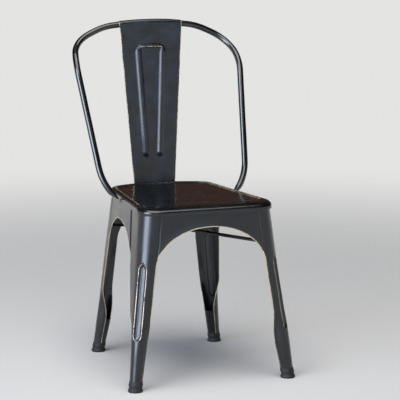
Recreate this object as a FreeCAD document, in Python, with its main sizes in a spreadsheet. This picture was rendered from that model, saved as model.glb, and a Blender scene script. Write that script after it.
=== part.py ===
import FreeCAD, Part

import math
import os

from FreeCAD import Vector, Placement, Rotation

# Metal bistro chair pressed from sheet steel, with a bent tube back.
# Units are millimetres. Z points up, the seat faces -Y, and X runs across the chair.
# The origin lies on the floor under the middle of the whole chair.

SIZES = [
    ("seat_height", 436, "top of the seat rim above the floor"),
    ("sheet_thickness", 1.2, "wall of every pressed piece"),
    ("seam_gap", 0.2, "clearance between two sheets that lie on each other"),
    ("front_half_width", 170.5, "front leg corner from the middle, at seat height"),
    ("front_face_y", -208, "front face at seat height"),
    ("rear_half_width", 131, "rear leg corner from the middle, at seat height"),
    ("rear_corner_y", 168, "rear leg corner at seat height, where side and back would meet"),
    ("rear_bow_radius", 250, "curve of the back in plan, at seat height"),
    ("rear_bow_base_radius", 590, "curve of the back in plan, at the arch base"),
    ("rear_bow_y", 195, "rearmost point of the back at seat height"),
    ("rear_bow_base_y", 198.4, "rearmost point of the back at the arch base"),
    ("front_foot_x", 197, "front foot from the middle"),
    ("front_foot_y", -229, "front foot, along the chair"),
    ("rear_foot_x", 161, "rear foot from the middle"),
    ("rear_foot_y", 187, "rear foot, along the chair"),
    ("leg_end_height", 8, "end of the leg inside its rubber foot"),
    ("leg_neck_height", 88, "height where the closed tube opens into a channel"),
    ("leg_open_height", 138, "height where the edges of the channel are fully straight"),
    ("arch_base_height", 285, "height where the arches begin"),
    ("arch_shoulder_height", 345, "height where the hidden flanges reach their width"),
    ("leg_top_height", 430, "top edge of the legs under the seat"),
    ("leg_end_radius", 15, "half the width of the leg at its end"),
    ("leg_neck_radius", 18.5, "half the width of the leg at the neck"),
    ("leg_open_radius", 24.5, "rounding of the leg corner where the channel is open"),
    ("leg_base_radius", 36, "rounding of the leg corner at the arch base"),
    ("leg_top_radius", 41, "rounding of the leg corner at the top"),
    ("leg_open_reach", 37.5, "leg faces where the channel is open, from the sharp corner"),
    ("front_leg_front_reach", 44, "front leg face across the front, at the arch base"),
    ("front_leg_side_reach", 92, "front leg face along the side, at the arch base"),
    ("rear_leg_side_reach", 54, "rear leg face along the side, at the arch base"),
    ("rear_leg_back_reach", 49, "rear leg face across the back, at the arch base"),
    ("seam_lap", 12, "how far a leg flange reaches under an apron"),
    ("seam_step", 3, "how far an apron seam stays inside the arch at its base"),
    ("front_seam_x", 124.5, "visible seam of the front apron at the leg top"),
    ("front_seam_base_x", 140, "the same seam at the arch base"),
    ("side_seam_front", 115, "side apron seam from the front corner, at the leg top"),
    ("side_seam_rear", 46, "side apron seam from the rear corner, at the leg top"),
    ("front_arch_top", 384, "crown of the front arch"),
    ("side_arch_top", 376, "crown of the side arches"),
    ("side_arch_shift", 24, "how far the crown of a side arch lies behind its middle"),
    ("rear_arch_top", 376, "crown of the rear arch"),
    ("groove_length", 180, "stamped flat on the leg corner"),
    ("groove_low", 123, "lower end of the stamped flat"),
    ("groove_width", 16, "width of the stamped flat"),
    ("groove_depth", 0.7, "depth of the stamped flat"),
    ("skirt_height", 18, "rolled edge of the seat"),
    ("skirt_roll", 8, "rounding of the rolled edge"),
    ("skirt_play", 0.3, "clearance between the rolled edge and the aprons"),
    ("front_overhang", 5, "how far the rolled front edge stands proud of the apron"),
    ("seat_corner_radius", 42, "front corners of the seat in plan"),
    ("panel_inset_side", 13, "width of the rim beside the sunk panel"),
    ("panel_inset_front", 52, "width of the rim in front of the sunk panel"),
    ("panel_inset_rear", 14, "width of the rim behind the sunk panel"),
    ("panel_depth", 2.5, "depth of the sunk panel"),
    ("panel_corner_radius", 26, "corners of the sunk panel in plan"),
    ("hollow_overrun", 5, "how far the tool that hollows the seat runs below it"),
    ("panel_overrun", 3, "how far the tool that sinks the panel runs above it"),
    ("tube_radius", 8, "back hoop tube"),
    ("tube_wall", 1.2, "wall of the back hoop tube"),
    ("hoop_height", 847, "middle of the tube at the top of the back"),
    ("hoop_top_y", 237, "middle of the tube at the top of the back, along the chair"),
    ("hoop_top_radius", 842, "arch of the tube along the top of the back"),
    ("hoop_top_half", 88, "half width of that arch"),
    ("hoop_half_width", 221, "where the sides of the hoop would meet its shoulders, from the middle"),
    ("hoop_end_y", 25, "where the hoop meets the side of the seat, along the chair"),
    ("hoop_end_drop", 14, "flattened end of the hoop below the seat rim"),
    ("hoop_end_width", 15, "width of the flattened end"),
    ("hoop_end_thickness", 5, "thickness of the flattened end"),
    ("hoop_end_play", 0.3, "clearance between the flattened end and the rolled edge"),
    ("weld_radius", 2.2, "bead of weld under the flattened end"),
    ("weld_length", 11, "length of the weld bead"),
    ("rivet_radius", 3, "shank of the brace rivet"),
    ("rivet_head_radius", 6.5, "heads of the brace rivet"),
    ("splat_top_half_width", 84.5, "back splat at the hoop"),
    ("splat_bottom_half_width", 54.5, "back splat at its lower end"),
    ("splat_bottom_z", 402, "lower end of the back splat"),
    ("splat_play", 0.3, "clearance between splat, hoop and seat"),
    ("rib_top_z", 789, "crown of the pressed rib on the splat"),
    ("rib_bottom_z", 512, "ends of the pressed rib on the splat"),
    ("rib_top_half", 35, "half spacing of the rib legs at the crown"),
    ("rib_bottom_half", 20, "half spacing of the rib legs at their ends"),
    ("rib_radius", 6.5, "rounding of the pressed rib"),
    ("rib_rise", 3.6, "height of the pressed rib above the splat"),
    ("brace_width", 20, "flat bar of the cross brace"),
    ("brace_thickness", 4, "thickness of the cross brace bars"),
    ("brace_centre_z", 342, "lower brace bar at the middle"),
    ("brace_end_z", 333, "brace bars at the legs"),
    ("brace_flat", 22, "half the level middle of a brace bar"),
    ("brace_play", 0.3, "clearance between the bar ends and the legs"),
    ("foot_radius", 18, "rubber foot on the floor"),
    ("foot_collar_radius", 17, "collar of the rubber foot"),
    ("foot_height", 25, "top of the rubber collar"),
    ("foot_play", 0.3, "clearance between leg and rubber foot"),
]

doc = FreeCAD.newDocument("bistro_chair")
sheet = doc.addObject("Spreadsheet::Sheet", "Sizes")
for row, (alias, number, meaning) in enumerate(SIZES, start=1):
    sheet.set("A%d" % row, alias)
    sheet.set("B%d" % row, str(number))
    sheet.set("C%d" % row, meaning)
    sheet.setAlias("B%d" % row, alias)
doc.recompute()

NODES = []


def size(alias):
    """A driving dimension read from the sheet."""
    return float(sheet.get(alias))


def node(obj, label):
    """Names a finished piece of the chair."""
    obj.Label = label
    NODES.append(obj)
    return obj


def bind(obj, **sizes):
    """Ties properties of an object to cells of the sheet."""
    for prop, formula in sizes.items():
        obj.setExpression(prop, formula)


def shape_object(name, shape):
    """A helper outline or tool that the pieces are made from."""
    obj = doc.addObject("Part::Feature", name)
    obj.Shape = shape
    return obj


def ruled_loft(name, wires):
    """A solid with straight walls from one outline to the next."""
    loft = doc.addObject("Part::Loft", name)
    loft.Sections = [shape_object("%s_line_%d" % (name, i), wire) for i, wire in enumerate(wires)]
    loft.Solid = True
    loft.Ruled = True
    return loft


def cut(name, base, tool):
    """One object less another."""
    obj = doc.addObject("Part::Cut", name)
    obj.Base = base
    obj.Tool = tool
    return obj


def fuse(name, pieces):
    """Several objects made one."""
    obj = doc.addObject("Part::MultiFuse", name)
    obj.Shapes = pieces
    return obj


SEAT = size("seat_height")
WALL = size("sheet_thickness")
GAP = size("seam_gap")
REAR_SEAM_GAP = 2 * GAP
LEG_END = size("leg_end_height")
NECK = size("leg_neck_height")
OPEN = size("leg_open_height")
ARCH_BASE = size("arch_base_height")
SHOULDER = size("arch_shoulder_height")
LEG_TOP = size("leg_top_height")


def blend(height, low, high, at_low, at_high):
    """Straight line between two heights."""
    share = (height - low) / (high - low)
    return at_low + share * (at_high - at_low)


def corner_radius(height):
    """Rounding of the leg corner at a height."""
    if height <= NECK:
        return blend(height, LEG_END, NECK, size("leg_end_radius"), size("leg_neck_radius"))
    if height <= OPEN:
        return blend(height, NECK, OPEN, size("leg_neck_radius"), size("leg_open_radius"))
    if height <= ARCH_BASE:
        return blend(height, OPEN, ARCH_BASE, size("leg_open_radius"), size("leg_base_radius"))
    return blend(height, ARCH_BASE, LEG_TOP, size("leg_base_radius"), size("leg_top_radius"))


def front_corner(height):
    """Where the front and side faces of a front leg would meet."""
    end = size("leg_end_radius")
    return Vector(
        blend(height, LEG_END, SEAT, size("front_foot_x") + end, size("front_half_width")),
        blend(height, LEG_END, SEAT, size("front_foot_y") - end, size("front_face_y")),
        height)


def rear_corner(height):
    """Where the back and side faces of a rear leg would meet."""
    end = size("leg_end_radius")
    return Vector(
        blend(height, LEG_END, SEAT, size("rear_foot_x") + end, size("rear_half_width")),
        blend(height, LEG_END, SEAT, size("rear_foot_y") + end, size("rear_corner_y")),
        height)


def side_direction(height):
    """Plan direction of the side face, from front to back, at or above the arch base."""
    line = rear_corner(height) - front_corner(height)
    return line.normalize()


def side_lean(height):
    """Plan direction of a leg's side face, which turns square towards the foot."""
    direction = side_direction(height)
    if height >= ARCH_BASE:
        return direction
    share = max(0.0, (height - NECK) / (ARCH_BASE - NECK))
    return Vector(direction.x * share, direction.y, 0).normalize()


def bow_radius(height):
    """Radius of the plan curve of the back, which flattens towards the arch base."""
    bend = blend(height, ARCH_BASE, SEAT, 1 / size("rear_bow_base_radius"), 1 / size("rear_bow_radius"))
    return 1 / bend


def bow_centre_y(height):
    """Middle of the plan curve of the back."""
    apex = blend(height, ARCH_BASE, SEAT, size("rear_bow_base_y"), size("rear_bow_y"))
    return apex - bow_radius(height)


def inward(direction, towards):
    """Plan normal of a direction, on the side that a point lies."""
    normal = Vector(-direction.y, direction.x, 0)
    return normal if normal.dot(towards) > 0 else normal * -1


def arm_points(start, direction, normal, length, curl, depth):
    """Middle and end of a flange that leaves a tangent point, offset inwards by a depth."""
    if curl < 1e-6:
        near = start + normal * depth
        return near + direction * (length / 2), near + direction * length
    radius = length / curl
    centre = start + normal * radius
    points = []
    for angle in (curl / 2, curl):
        spoke = normal * -math.cos(angle) + direction * math.sin(angle)
        points.append(centre + spoke * (radius - depth))
    return points[0], points[1]


def edge(start, middle, end, straight):
    """A straight edge, or an arc through three points."""
    if straight:
        return Part.makeLine(start, end)
    return Part.Arc(start, middle, end).toShape()


def channel_wire(centre, radius, first, second, side):
    """Cross-section of a leg: a rounded corner with a flange on each side.

    Each flange is (direction, length, curl), measured from where the corner ends.
    """
    outer = {}
    inner = {}
    for depth, line in ((0.0, outer), (WALL, inner)):
        line["points"] = []
        for direction, length, curl in (first, second):
            normal = inward(direction, other_direction(first[0], second[0], direction))
            tangent = centre - normal * radius
            middle, end = arm_points(tangent, direction, normal, length, curl, depth)
            line["points"].append((tangent + normal * depth, middle, end))
        bisector = (first[0] + second[0]).normalize()
        line["crown"] = centre - bisector * (radius - depth)
    edges = []
    (t1, m1, e1), (t2, m2, e2) = outer["points"]
    (u1, n1, f1), (u2, n2, f2) = inner["points"]
    straight_first = first[2] < 1e-6
    straight_second = second[2] < 1e-6
    edges.append(edge(e1, m1, t1, straight_first))
    edges.append(edge(t1, outer["crown"], t2, False))
    edges.append(edge(t2, m2, e2, straight_second))
    edges.append(Part.makeLine(e2, f2))
    edges.append(edge(f2, n2, u2, straight_second))
    edges.append(edge(u2, inner["crown"], u1, False))
    edges.append(edge(u1, n1, f1, straight_first))
    edges.append(Part.makeLine(f1, e1))
    wire = Part.Wire(edges)
    if side < 0:
        wire = wire.mirror(Vector(0, 0, 0), Vector(1, 0, 0))
    return wire


def other_direction(first, second, direction):
    """The other flange's direction, which points to the inside of the corner."""
    return second if direction is first else first


def corner_tangent_length(first, second, radius):
    """Distance from a sharp corner to where its rounding starts."""
    half = first.getAngle(second) / 2
    return radius / math.tan(half)


def rounded_corner(corner, first, second, radius):
    """Middle of the rounding between two plan directions."""
    half = first.getAngle(second) / 2
    bisector = (first + second).normalize()
    return corner + bisector * (radius / math.sin(half))


def flange(direction, reach, tangent_length, curl):
    """A flange that reaches a given distance from the sharp corner."""
    free = reach - tangent_length
    length = free if curl < 1e-6 else free / math.sin(curl) * curl
    return direction, length, curl


OPENING_STEPS = 4
LEG_LEVELS = [LEG_END]
for step in range(OPENING_STEPS + 1):
    LEG_LEVELS.append(NECK + (OPEN - NECK) * step / OPENING_STEPS)
LEG_LEVELS += [(OPEN + ARCH_BASE) / 2, ARCH_BASE, SHOULDER, LEG_TOP]


def curl_at(height):
    """Turn of the flange edges: a full quarter in the tube, none in the open channel."""
    if height <= NECK:
        return math.pi / 2
    if height >= OPEN:
        return 0.0
    return blend(height, NECK, OPEN, math.pi / 2, 0.0)


def reach_at(height, at_base, at_shoulder, at_top):
    """Reach of a flange from the sharp corner, at a height."""
    if height <= NECK:
        return 2 * corner_radius(height)
    if height <= OPEN:
        return blend(height, NECK, OPEN, 2 * size("leg_neck_radius"), size("leg_open_reach"))
    if height <= ARCH_BASE:
        return blend(height, OPEN, ARCH_BASE, size("leg_open_reach"), at_base)
    if height <= SHOULDER:
        return blend(height, ARCH_BASE, SHOULDER, at_base, at_shoulder)
    return blend(height, SHOULDER, LEG_TOP, at_shoulder, at_top)


def front_seam_x(height):
    """Visible edge of the front apron at a height."""
    return blend(height, ARCH_BASE, LEG_TOP, size("front_seam_base_x"), size("front_seam_x"))


def front_side_seam(height):
    """Visible front edge of a side apron, from the front corner."""
    base = size("front_leg_side_reach") + size("seam_step")
    return blend(height, ARCH_BASE, LEG_TOP, base, size("side_seam_front"))


def rear_side_seam(height):
    """Visible rear edge of a side apron, from the rear corner."""
    base = size("rear_leg_side_reach") + size("seam_step")
    return blend(height, ARCH_BASE, LEG_TOP, base, size("side_seam_rear"))


def front_leg_wire(height, side):
    """Cross-section of a front leg."""
    across = Vector(-1, 0, 0)
    along = side_lean(height)
    radius = corner_radius(height)
    corner = front_corner(height)
    tangent_length = corner_tangent_length(across, along, radius)
    lap = size("seam_lap")
    at_shoulder = front_corner(SHOULDER).x - front_seam_x(SHOULDER) + lap
    at_top = front_corner(LEG_TOP).x - front_seam_x(LEG_TOP) + lap
    front_reach = reach_at(height, size("front_leg_front_reach"), at_shoulder, at_top)
    side_reach = reach_at(
        height, size("front_leg_side_reach"), front_side_seam(SHOULDER) + lap, front_side_seam(LEG_TOP) + lap)
    curl = curl_at(height)
    return channel_wire(
        rounded_corner(corner, across, along, radius), radius,
        flange(across, front_reach, tangent_length, curl),
        flange(along, side_reach, tangent_length, curl), side)


def bow_corner(height, radius):
    """Middle of the rear rounding, tangent to the side face and to the back curve."""
    direction = side_direction(height)
    normal = Vector(-direction.y, direction.x, 0)
    foot = front_corner(height) + normal * radius
    middle = Vector(0, bow_centre_y(height), height)
    along = (middle - foot).dot(direction)
    closest = foot + direction * along
    span = bow_radius(height) - radius
    reach = math.sqrt(span ** 2 - (closest - middle).Length ** 2)
    return closest + direction * reach


def rear_leg_wire(height, side):
    """Cross-section of a rear leg."""
    forward = side_lean(height) * -1
    radius = corner_radius(height)
    lap = size("seam_lap")
    back_end = size("rear_leg_back_reach") + size("seam_step") + lap
    side_reach = reach_at(
        height, size("rear_leg_side_reach"), rear_side_seam(SHOULDER) + lap, rear_side_seam(LEG_TOP) + lap)
    back_reach = reach_at(height, size("rear_leg_back_reach"), back_end, back_end)
    curl = curl_at(height)
    if height < ARCH_BASE:
        across = Vector(-1, 0, 0)
        tangent_length = corner_tangent_length(forward, across, radius)
        centre = rounded_corner(rear_corner(height), forward, across, radius)
        return channel_wire(
            centre, radius,
            flange(forward, side_reach, tangent_length, curl),
            flange(across, back_reach, tangent_length, curl), side)
    centre = bow_corner(height, radius)
    spoke = (centre - Vector(0, bow_centre_y(height), height)).normalize()
    across = Vector(-spoke.y, spoke.x, 0)
    tangent = centre - inward(forward, Vector(-1, 0, 0)) * radius
    side_length = side_reach - (rear_corner(height) - tangent).Length
    back_length = back_reach - radius
    return channel_wire(
        centre, radius,
        (forward, side_length, 0.0),
        (across, back_length, back_length / bow_radius(height)), side)


def quarter_ellipse(foot, crown, centre):
    """A quarter of an ellipse between its foot and its crown."""
    if (foot - centre).Length > (crown - centre).Length:
        ellipse = Part.Ellipse(foot, crown, centre)
    else:
        ellipse = Part.Ellipse(crown, foot, centre)
    return Part.Edge(ellipse, 0, math.pi / 2)


def arch_prism(name, half_width, shift, base_z, top_z, centre, direction, start, depth):
    """Tool that opens an arch: two quarter ellipses over a straight base."""
    middle = centre + Vector(0, 0, base_z)
    crown_foot = middle + direction * shift
    crown = crown_foot + Vector(0, 0, top_z - base_z)
    first = middle - direction * half_width
    last = middle + direction * half_width
    edges = [
        quarter_ellipse(first, crown, crown_foot),
        quarter_ellipse(last, crown, crown_foot),
        Part.makeLine(first, last)]
    normal = direction.cross(Vector(0, 0, 1))
    face = Part.Face(Part.Wire(Part.__sortEdges__(edges)))
    face.translate(normal * start)
    outline = shape_object(name + "_line", face)
    prism = doc.addObject("Part::Extrusion", name)
    prism.Base = outline
    prism.DirMode = "Custom"
    prism.Dir = normal
    prism.LengthFwd = depth
    prism.Solid = True
    return prism


def side_point(height, from_front, offset):
    """A point on the right side face, a distance from the front corner and outside it."""
    direction = side_direction(height)
    outward = Vector(direction.y, -direction.x, 0)
    return front_corner(height) + direction * from_front + outward * offset


# The arches that open the front, the sides and the back.
front_arch_half = front_corner(ARCH_BASE).x - size("front_leg_front_reach")
front_arch = arch_prism(
    "front_arch", front_arch_half, 0, ARCH_BASE, size("front_arch_top"),
    Vector(0, 0, 0), Vector(1, 0, 0), 100, 200)

side_length = (rear_corner(ARCH_BASE) - front_corner(ARCH_BASE)).Length
side_arch_front = side_point(ARCH_BASE, size("front_leg_side_reach"), 0)
side_arch_rear = side_point(ARCH_BASE, side_length - size("rear_leg_side_reach"), 0)
side_arch_y = (side_arch_front.y + side_arch_rear.y) / 2
side_arch_half = (side_arch_rear.y - side_arch_front.y) / 2
side_arch_start = size("rear_half_width") / 2
side_arches = {}
for side, name in ((1, "right"), (-1, "left")):
    side_arches[side] = arch_prism(
        name + "_arch", side_arch_half, side * size("side_arch_shift"), ARCH_BASE, size("side_arch_top"),
        Vector(0, side_arch_y, 0), Vector(0, side, 0), side_arch_start, side_arch_start * 3)


def rear_flange_end():
    """Free edge of the rear leg's back flange at the arch base."""
    wire = rear_leg_wire(ARCH_BASE, 1)
    return min(vertex.X for vertex in wire.Vertexes)


rear_arch = arch_prism(
    "rear_arch", rear_flange_end(), 0, ARCH_BASE, size("rear_arch_top"),
    Vector(0, 0, 0), Vector(-1, 0, 0), size("rear_bow_y") / 2, size("rear_bow_y"))


def groove_tool(name, corner_at, across, along, side):
    """Flat slot with round ends that coins the outer corner of a leg."""
    low = size("groove_low")
    high = low + size("groove_length")
    half = size("groove_width") / 2
    points = []
    bisector = (across(low) + along(low)).normalize()
    for height in (low, high):
        radius = corner_radius(height)
        centre = rounded_corner(corner_at(height), across(height), along(height), radius)
        spoke = (across(height) + along(height)).normalize()
        points.append(centre - spoke * (radius - size("groove_depth")))
    low_point, high_point = points
    axis = (high_point - low_point).normalize()
    width = axis.cross(bisector).normalize()
    outward_normal = width.cross(axis).normalize()
    if outward_normal.dot(bisector) > 0:
        outward_normal = outward_normal * -1
    edges = [
        Part.makeLine(low_point - width * half, high_point - width * half),
        Part.Arc(high_point - width * half, high_point + axis * half, high_point + width * half).toShape(),
        Part.makeLine(high_point + width * half, low_point + width * half),
        Part.Arc(low_point + width * half, low_point - axis * half, low_point - width * half).toShape()]
    solid = Part.Face(Part.Wire(edges)).extrude(outward_normal * size("leg_top_radius"))
    if side < 0:
        solid = solid.mirror(Vector(0, 0, 0), Vector(1, 0, 0))
    return shape_object(name, solid)


def make_leg(label, wire_at, side, arches, groove):
    """One leg: a tapered channel, opened by the arches and coined on its corner."""
    shell = ruled_loft(label + "_shell", [wire_at(height, side) for height in LEG_LEVELS])
    for arch in arches:
        shell = cut("%s_less_%s" % (label, arch.Name), shell, arch)
    return node(cut(label + "_piece", shell, groove), label)


def closing_strip_wire(height, corner_at, signs, side):
    """Quarter ring that closes the inside of the leg's tube."""
    radius = corner_radius(height)
    corner = corner_at(height)
    centre = Vector(corner.x - radius, corner.y + signs * radius, height)
    play = GAP / radius
    start = math.pi - play if signs > 0 else math.pi + play
    turn = -(math.pi / 2 - 2 * play) if signs > 0 else math.pi / 2 - 2 * play
    points = []
    for reach in (radius, radius - WALL):
        points.append([centre + Vector(math.cos(a), math.sin(a), 0) * reach
                       for a in (start, start + turn / 2, start + turn)])
    (a, b, c), (d, e, f) = points
    wire = Part.Wire([
        Part.Arc(a, b, c).toShape(), Part.makeLine(c, f),
        Part.Arc(f, e, d).toShape(), Part.makeLine(d, a)])
    if side < 0:
        wire = wire.mirror(Vector(0, 0, 0), Vector(1, 0, 0))
    return wire


def foot_circle(corner_at, signs, side, height, radius):
    """Ring of a rubber foot, centred on the leg."""
    level = max(height, LEG_END)
    corner = corner_at(level)
    leg_radius = corner_radius(level)
    centre = Vector(side * (corner.x - leg_radius), corner.y + signs * leg_radius, height)
    return Part.Wire([Part.makeCircle(radius, centre)])


FOOT_RADIUS = size("foot_radius")
COLLAR_RADIUS = size("foot_collar_radius")
FOOT_RIM = size("foot_height")
FOOT_EDGE = 1.2
FOOT_FLANGE_TOP = 5.5
# Height and radius of each ring: a bevelled flange, a neck, a bead and a rim.
FOOT_PROFILE = [
    (0.0, FOOT_RADIUS - FOOT_EDGE),
    (FOOT_EDGE, FOOT_RADIUS),
    (FOOT_FLANGE_TOP, FOOT_RADIUS),
    (FOOT_FLANGE_TOP + 1.5, COLLAR_RADIUS - 0.6),
    (FOOT_FLANGE_TOP + 3.5, COLLAR_RADIUS - 0.9),
    (FOOT_RIM * 0.55, COLLAR_RADIUS - 0.7),
    (FOOT_RIM * 0.66, COLLAR_RADIUS + 0.4),
    (FOOT_RIM * 0.78, COLLAR_RADIUS - 0.4),
    (FOOT_RIM, COLLAR_RADIUS - 0.3)]
CUP_OVERRUN = 5


def make_foot(label, corner_at, signs, side):
    """Rubber foot: a stepped cup that the end of the leg stands in."""
    body = ruled_loft(label + "_body", [
        foot_circle(corner_at, signs, side, height, radius) for height, radius in FOOT_PROFILE])
    cup = ruled_loft(label + "_cup", [
        foot_circle(corner_at, signs, side, height, corner_radius(height) + size("foot_play"))
        for height in (LEG_END, FOOT_RIM + CUP_OVERRUN)])
    return node(cut(label + "_piece", body, cup), label)


LEGS = [
    ("front_left", front_leg_wire, front_corner, 1, -1),
    ("front_right", front_leg_wire, front_corner, 1, 1),
    ("rear_left", rear_leg_wire, rear_corner, -1, -1),
    ("rear_right", rear_leg_wire, rear_corner, -1, 1)]

for place, wire_at, corner_at, signs, side in LEGS:
    end_arch = front_arch if signs > 0 else rear_arch
    tool = groove_tool(
        place + "_groove", corner_at,
        lambda height: Vector(-1, 0, 0), lambda height, s=signs: side_lean(height) * s, side)
    make_leg(place + "_leg", wire_at, side, (end_arch, side_arches[side]), tool)
    strip = ruled_loft(place + "_strip", [
        closing_strip_wire(height, corner_at, signs, side) for height in (LEG_END, NECK)])
    node(strip, place + "_leg_closing_strip")
    make_foot(place + "_foot", corner_at, signs, side)


def sheet_wire(points, offset_points):
    """Closed outline of a thin flat strip between two rows of points."""
    loop = points + list(reversed(offset_points))
    return Part.makePolygon(loop + [loop[0]])


# Front apron, a flat sheet that lies on the front flanges of the legs.
def front_apron_wire(height):
    face_y = front_corner(height).y - GAP
    half = front_seam_x(height)
    near = [Vector(-half, face_y, height), Vector(half, face_y, height)]
    far = [point - Vector(0, WALL, 0) for point in near]
    return sheet_wire(near, far)


front_plate = ruled_loft("front_plate", [front_apron_wire(height) for height in (ARCH_BASE, LEG_TOP)])
node(cut("front_apron_piece", front_plate, front_arch), "front_apron")


# Side aprons, which twist a little because the legs splay more at the back.
def side_apron_wire(height, side):
    length = (rear_corner(height) - front_corner(height)).Length
    front_end = front_side_seam(height)
    rear_end = rear_side_seam(height)
    near = [side_point(height, front_end, GAP), side_point(height, length - rear_end, GAP)]
    far = [side_point(height, front_end, GAP + WALL), side_point(height, length - rear_end, GAP + WALL)]
    wire = sheet_wire(near, far)
    if side < 0:
        wire = wire.mirror(Vector(0, 0, 0), Vector(1, 0, 0))
    return wire


for side, name in ((1, "right"), (-1, "left")):
    plate = ruled_loft(name + "_plate", [side_apron_wire(height, side) for height in (ARCH_BASE, LEG_TOP)])
    node(cut(name + "_apron_piece", plate, side_arches[side]), name + "_apron")


# Rear apron, bent to the curve of the seat.
def rear_seam_angle(height):
    """Plan angle of the rear seam about the middle of the back curve."""
    centre = bow_corner(height, corner_radius(height))
    middle = Vector(0, bow_centre_y(height), height)
    spoke = centre - middle
    tangent_angle = math.atan2(spoke.x, spoke.y)
    seam_length = size("rear_leg_back_reach") + size("seam_step") - corner_radius(height)
    return tangent_angle - seam_length / bow_radius(height)


def rear_apron_wire(height):
    angle = rear_seam_angle(height)
    middle = Vector(0, bow_centre_y(height), height)
    rows = []
    for offset in (REAR_SEAM_GAP, REAR_SEAM_GAP + WALL):
        reach = bow_radius(height) + offset
        rows.append([middle + Vector(math.sin(a), math.cos(a), 0) * reach for a in (-angle, 0, angle)])
    (a, b, c), (d, e, f) = rows
    return Part.Wire([
        Part.Arc(a, b, c).toShape(), Part.makeLine(c, f),
        Part.Arc(f, e, d).toShape(), Part.makeLine(d, a)])


rear_plate = ruled_loft("rear_plate", [rear_apron_wire(height) for height in (ARCH_BASE, LEG_TOP)])
node(cut("rear_apron_piece", rear_plate, rear_arch), "rear_apron")


# Seat pan: one pressed sheet with a rolled edge and a sunk panel.
SKIRT_LOW = SEAT - size("skirt_height")
side_stack = GAP + WALL + size("skirt_play") + WALL


def seat_side_x(y, offset):
    """Half width of the seat outline at a place along the chair."""
    front = side_point(SKIRT_LOW, 0, side_stack + offset)
    rear = side_point(SKIRT_LOW, side_length, side_stack + offset)
    return blend(y, front.y, rear.y, front.x, rear.x)


seat_front_y = front_corner(SKIRT_LOW).y - GAP - WALL - size("front_overhang")
seat_bow_radius = bow_radius(SKIRT_LOW) + side_stack + REAR_SEAM_GAP
seat_bow_centre = bow_centre_y(SKIRT_LOW)


def side_meets_bow(curve, offset):
    """Where the side line of the seat reaches its back curve."""
    y = seat_bow_centre + curve
    for step in range(40):
        y = seat_bow_centre + math.sqrt(curve ** 2 - seat_side_x(y, offset) ** 2)
    return Vector(seat_side_x(y, offset), y, 0)


def upright_edges(feature, y, height):
    """Names of the upright edges of a feature at a place along the chair."""
    names = []
    for index, candidate in enumerate(feature.Shape.Edges, start=1):
        box = candidate.BoundBox
        upright = box.ZLength > height / 2 and box.XLength < 1e-3
        if upright and abs(candidate.CenterOfMass.y - y) < 1:
            names.append("Edge%d" % index)
    return names


def seat_body(name, offset, front_y, corner_radius_front, corner_radius_rear, curve, base_z, length):
    """A padded outline of the seat: straight front and sides, curved back, round corners."""
    rear = side_meets_bow(curve, offset)
    front_x = seat_side_x(front_y, offset)
    body = doc.addObject("PartDesign::Body", name)
    sketch = body.newObject("Sketcher::SketchObject", name + "_outline")
    plane = [part for part in body.Origin.OriginFeatures if part.Role == "XY_Plane"][0]
    sketch.AttachmentSupport = [(plane, "")]
    sketch.MapMode = "FlatFace"
    sketch.AttachmentOffset = Placement(Vector(0, 0, base_z), Rotation())
    front_left = Vector(-front_x, front_y, 0)
    front_right = Vector(front_x, front_y, 0)
    rear_left = Vector(-rear.x, rear.y, 0)
    apex = Vector(0, seat_bow_centre + curve, 0)
    sketch.addGeometry(Part.LineSegment(front_left, front_right), False)
    sketch.addGeometry(Part.LineSegment(front_right, rear), False)
    sketch.addGeometry(Part.Arc(rear, apex, rear_left), False)
    sketch.addGeometry(Part.LineSegment(rear_left, front_left), False)
    doc.recompute()
    pad = body.newObject("PartDesign::Pad", name + "_pad")
    pad.Profile = sketch
    bind(pad, Length=length)
    doc.recompute()
    height = pad.Length.Value
    front_round = body.newObject("PartDesign::Fillet", name + "_front_corners")
    front_round.Base = (pad, upright_edges(pad, front_y, height))
    front_round.Radius = corner_radius_front
    doc.recompute()
    rear_round = body.newObject("PartDesign::Fillet", name + "_rear_corners")
    rear_round.Base = (front_round, upright_edges(front_round, rear.y, height))
    rear_round.Radius = corner_radius_rear
    doc.recompute()
    return body


def top_rounding(body, name, top_z, radius):
    """Rolls the upper edge of a seat body."""
    tip = body.Tip
    names = []
    for index, candidate in enumerate(tip.Shape.Edges, start=1):
        box = candidate.BoundBox
        if abs(box.ZMin - top_z) < 1e-3 and abs(box.ZMax - top_z) < 1e-3:
            names.append("Edge%d" % index)
    roll = body.newObject("PartDesign::Fillet", name)
    roll.Base = (tip, names)
    roll.Radius = radius
    doc.recompute()
    return roll


seat_outer = seat_body(
    "seat_outer", 0, seat_front_y, size("seat_corner_radius"),
    size("leg_top_radius") + side_stack, seat_bow_radius, SKIRT_LOW, "Sizes.skirt_height")
outer_roll = top_rounding(seat_outer, "seat_roll", SEAT, size("skirt_roll"))
bind(outer_roll, Radius="Sizes.skirt_roll")

UNDERCUT = size("hollow_overrun")
seat_inner = seat_body(
    "seat_inner", -WALL, seat_front_y + WALL, size("seat_corner_radius") - WALL,
    size("leg_top_radius") + side_stack - WALL, seat_bow_radius - WALL,
    SKIRT_LOW - UNDERCUT, "Sizes.skirt_height - Sizes.sheet_thickness + Sizes.hollow_overrun")
inner_roll = top_rounding(seat_inner, "seat_inner_roll", SEAT - WALL, size("skirt_roll") - WALL)
bind(inner_roll, Radius="Sizes.skirt_roll - Sizes.sheet_thickness")

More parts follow.
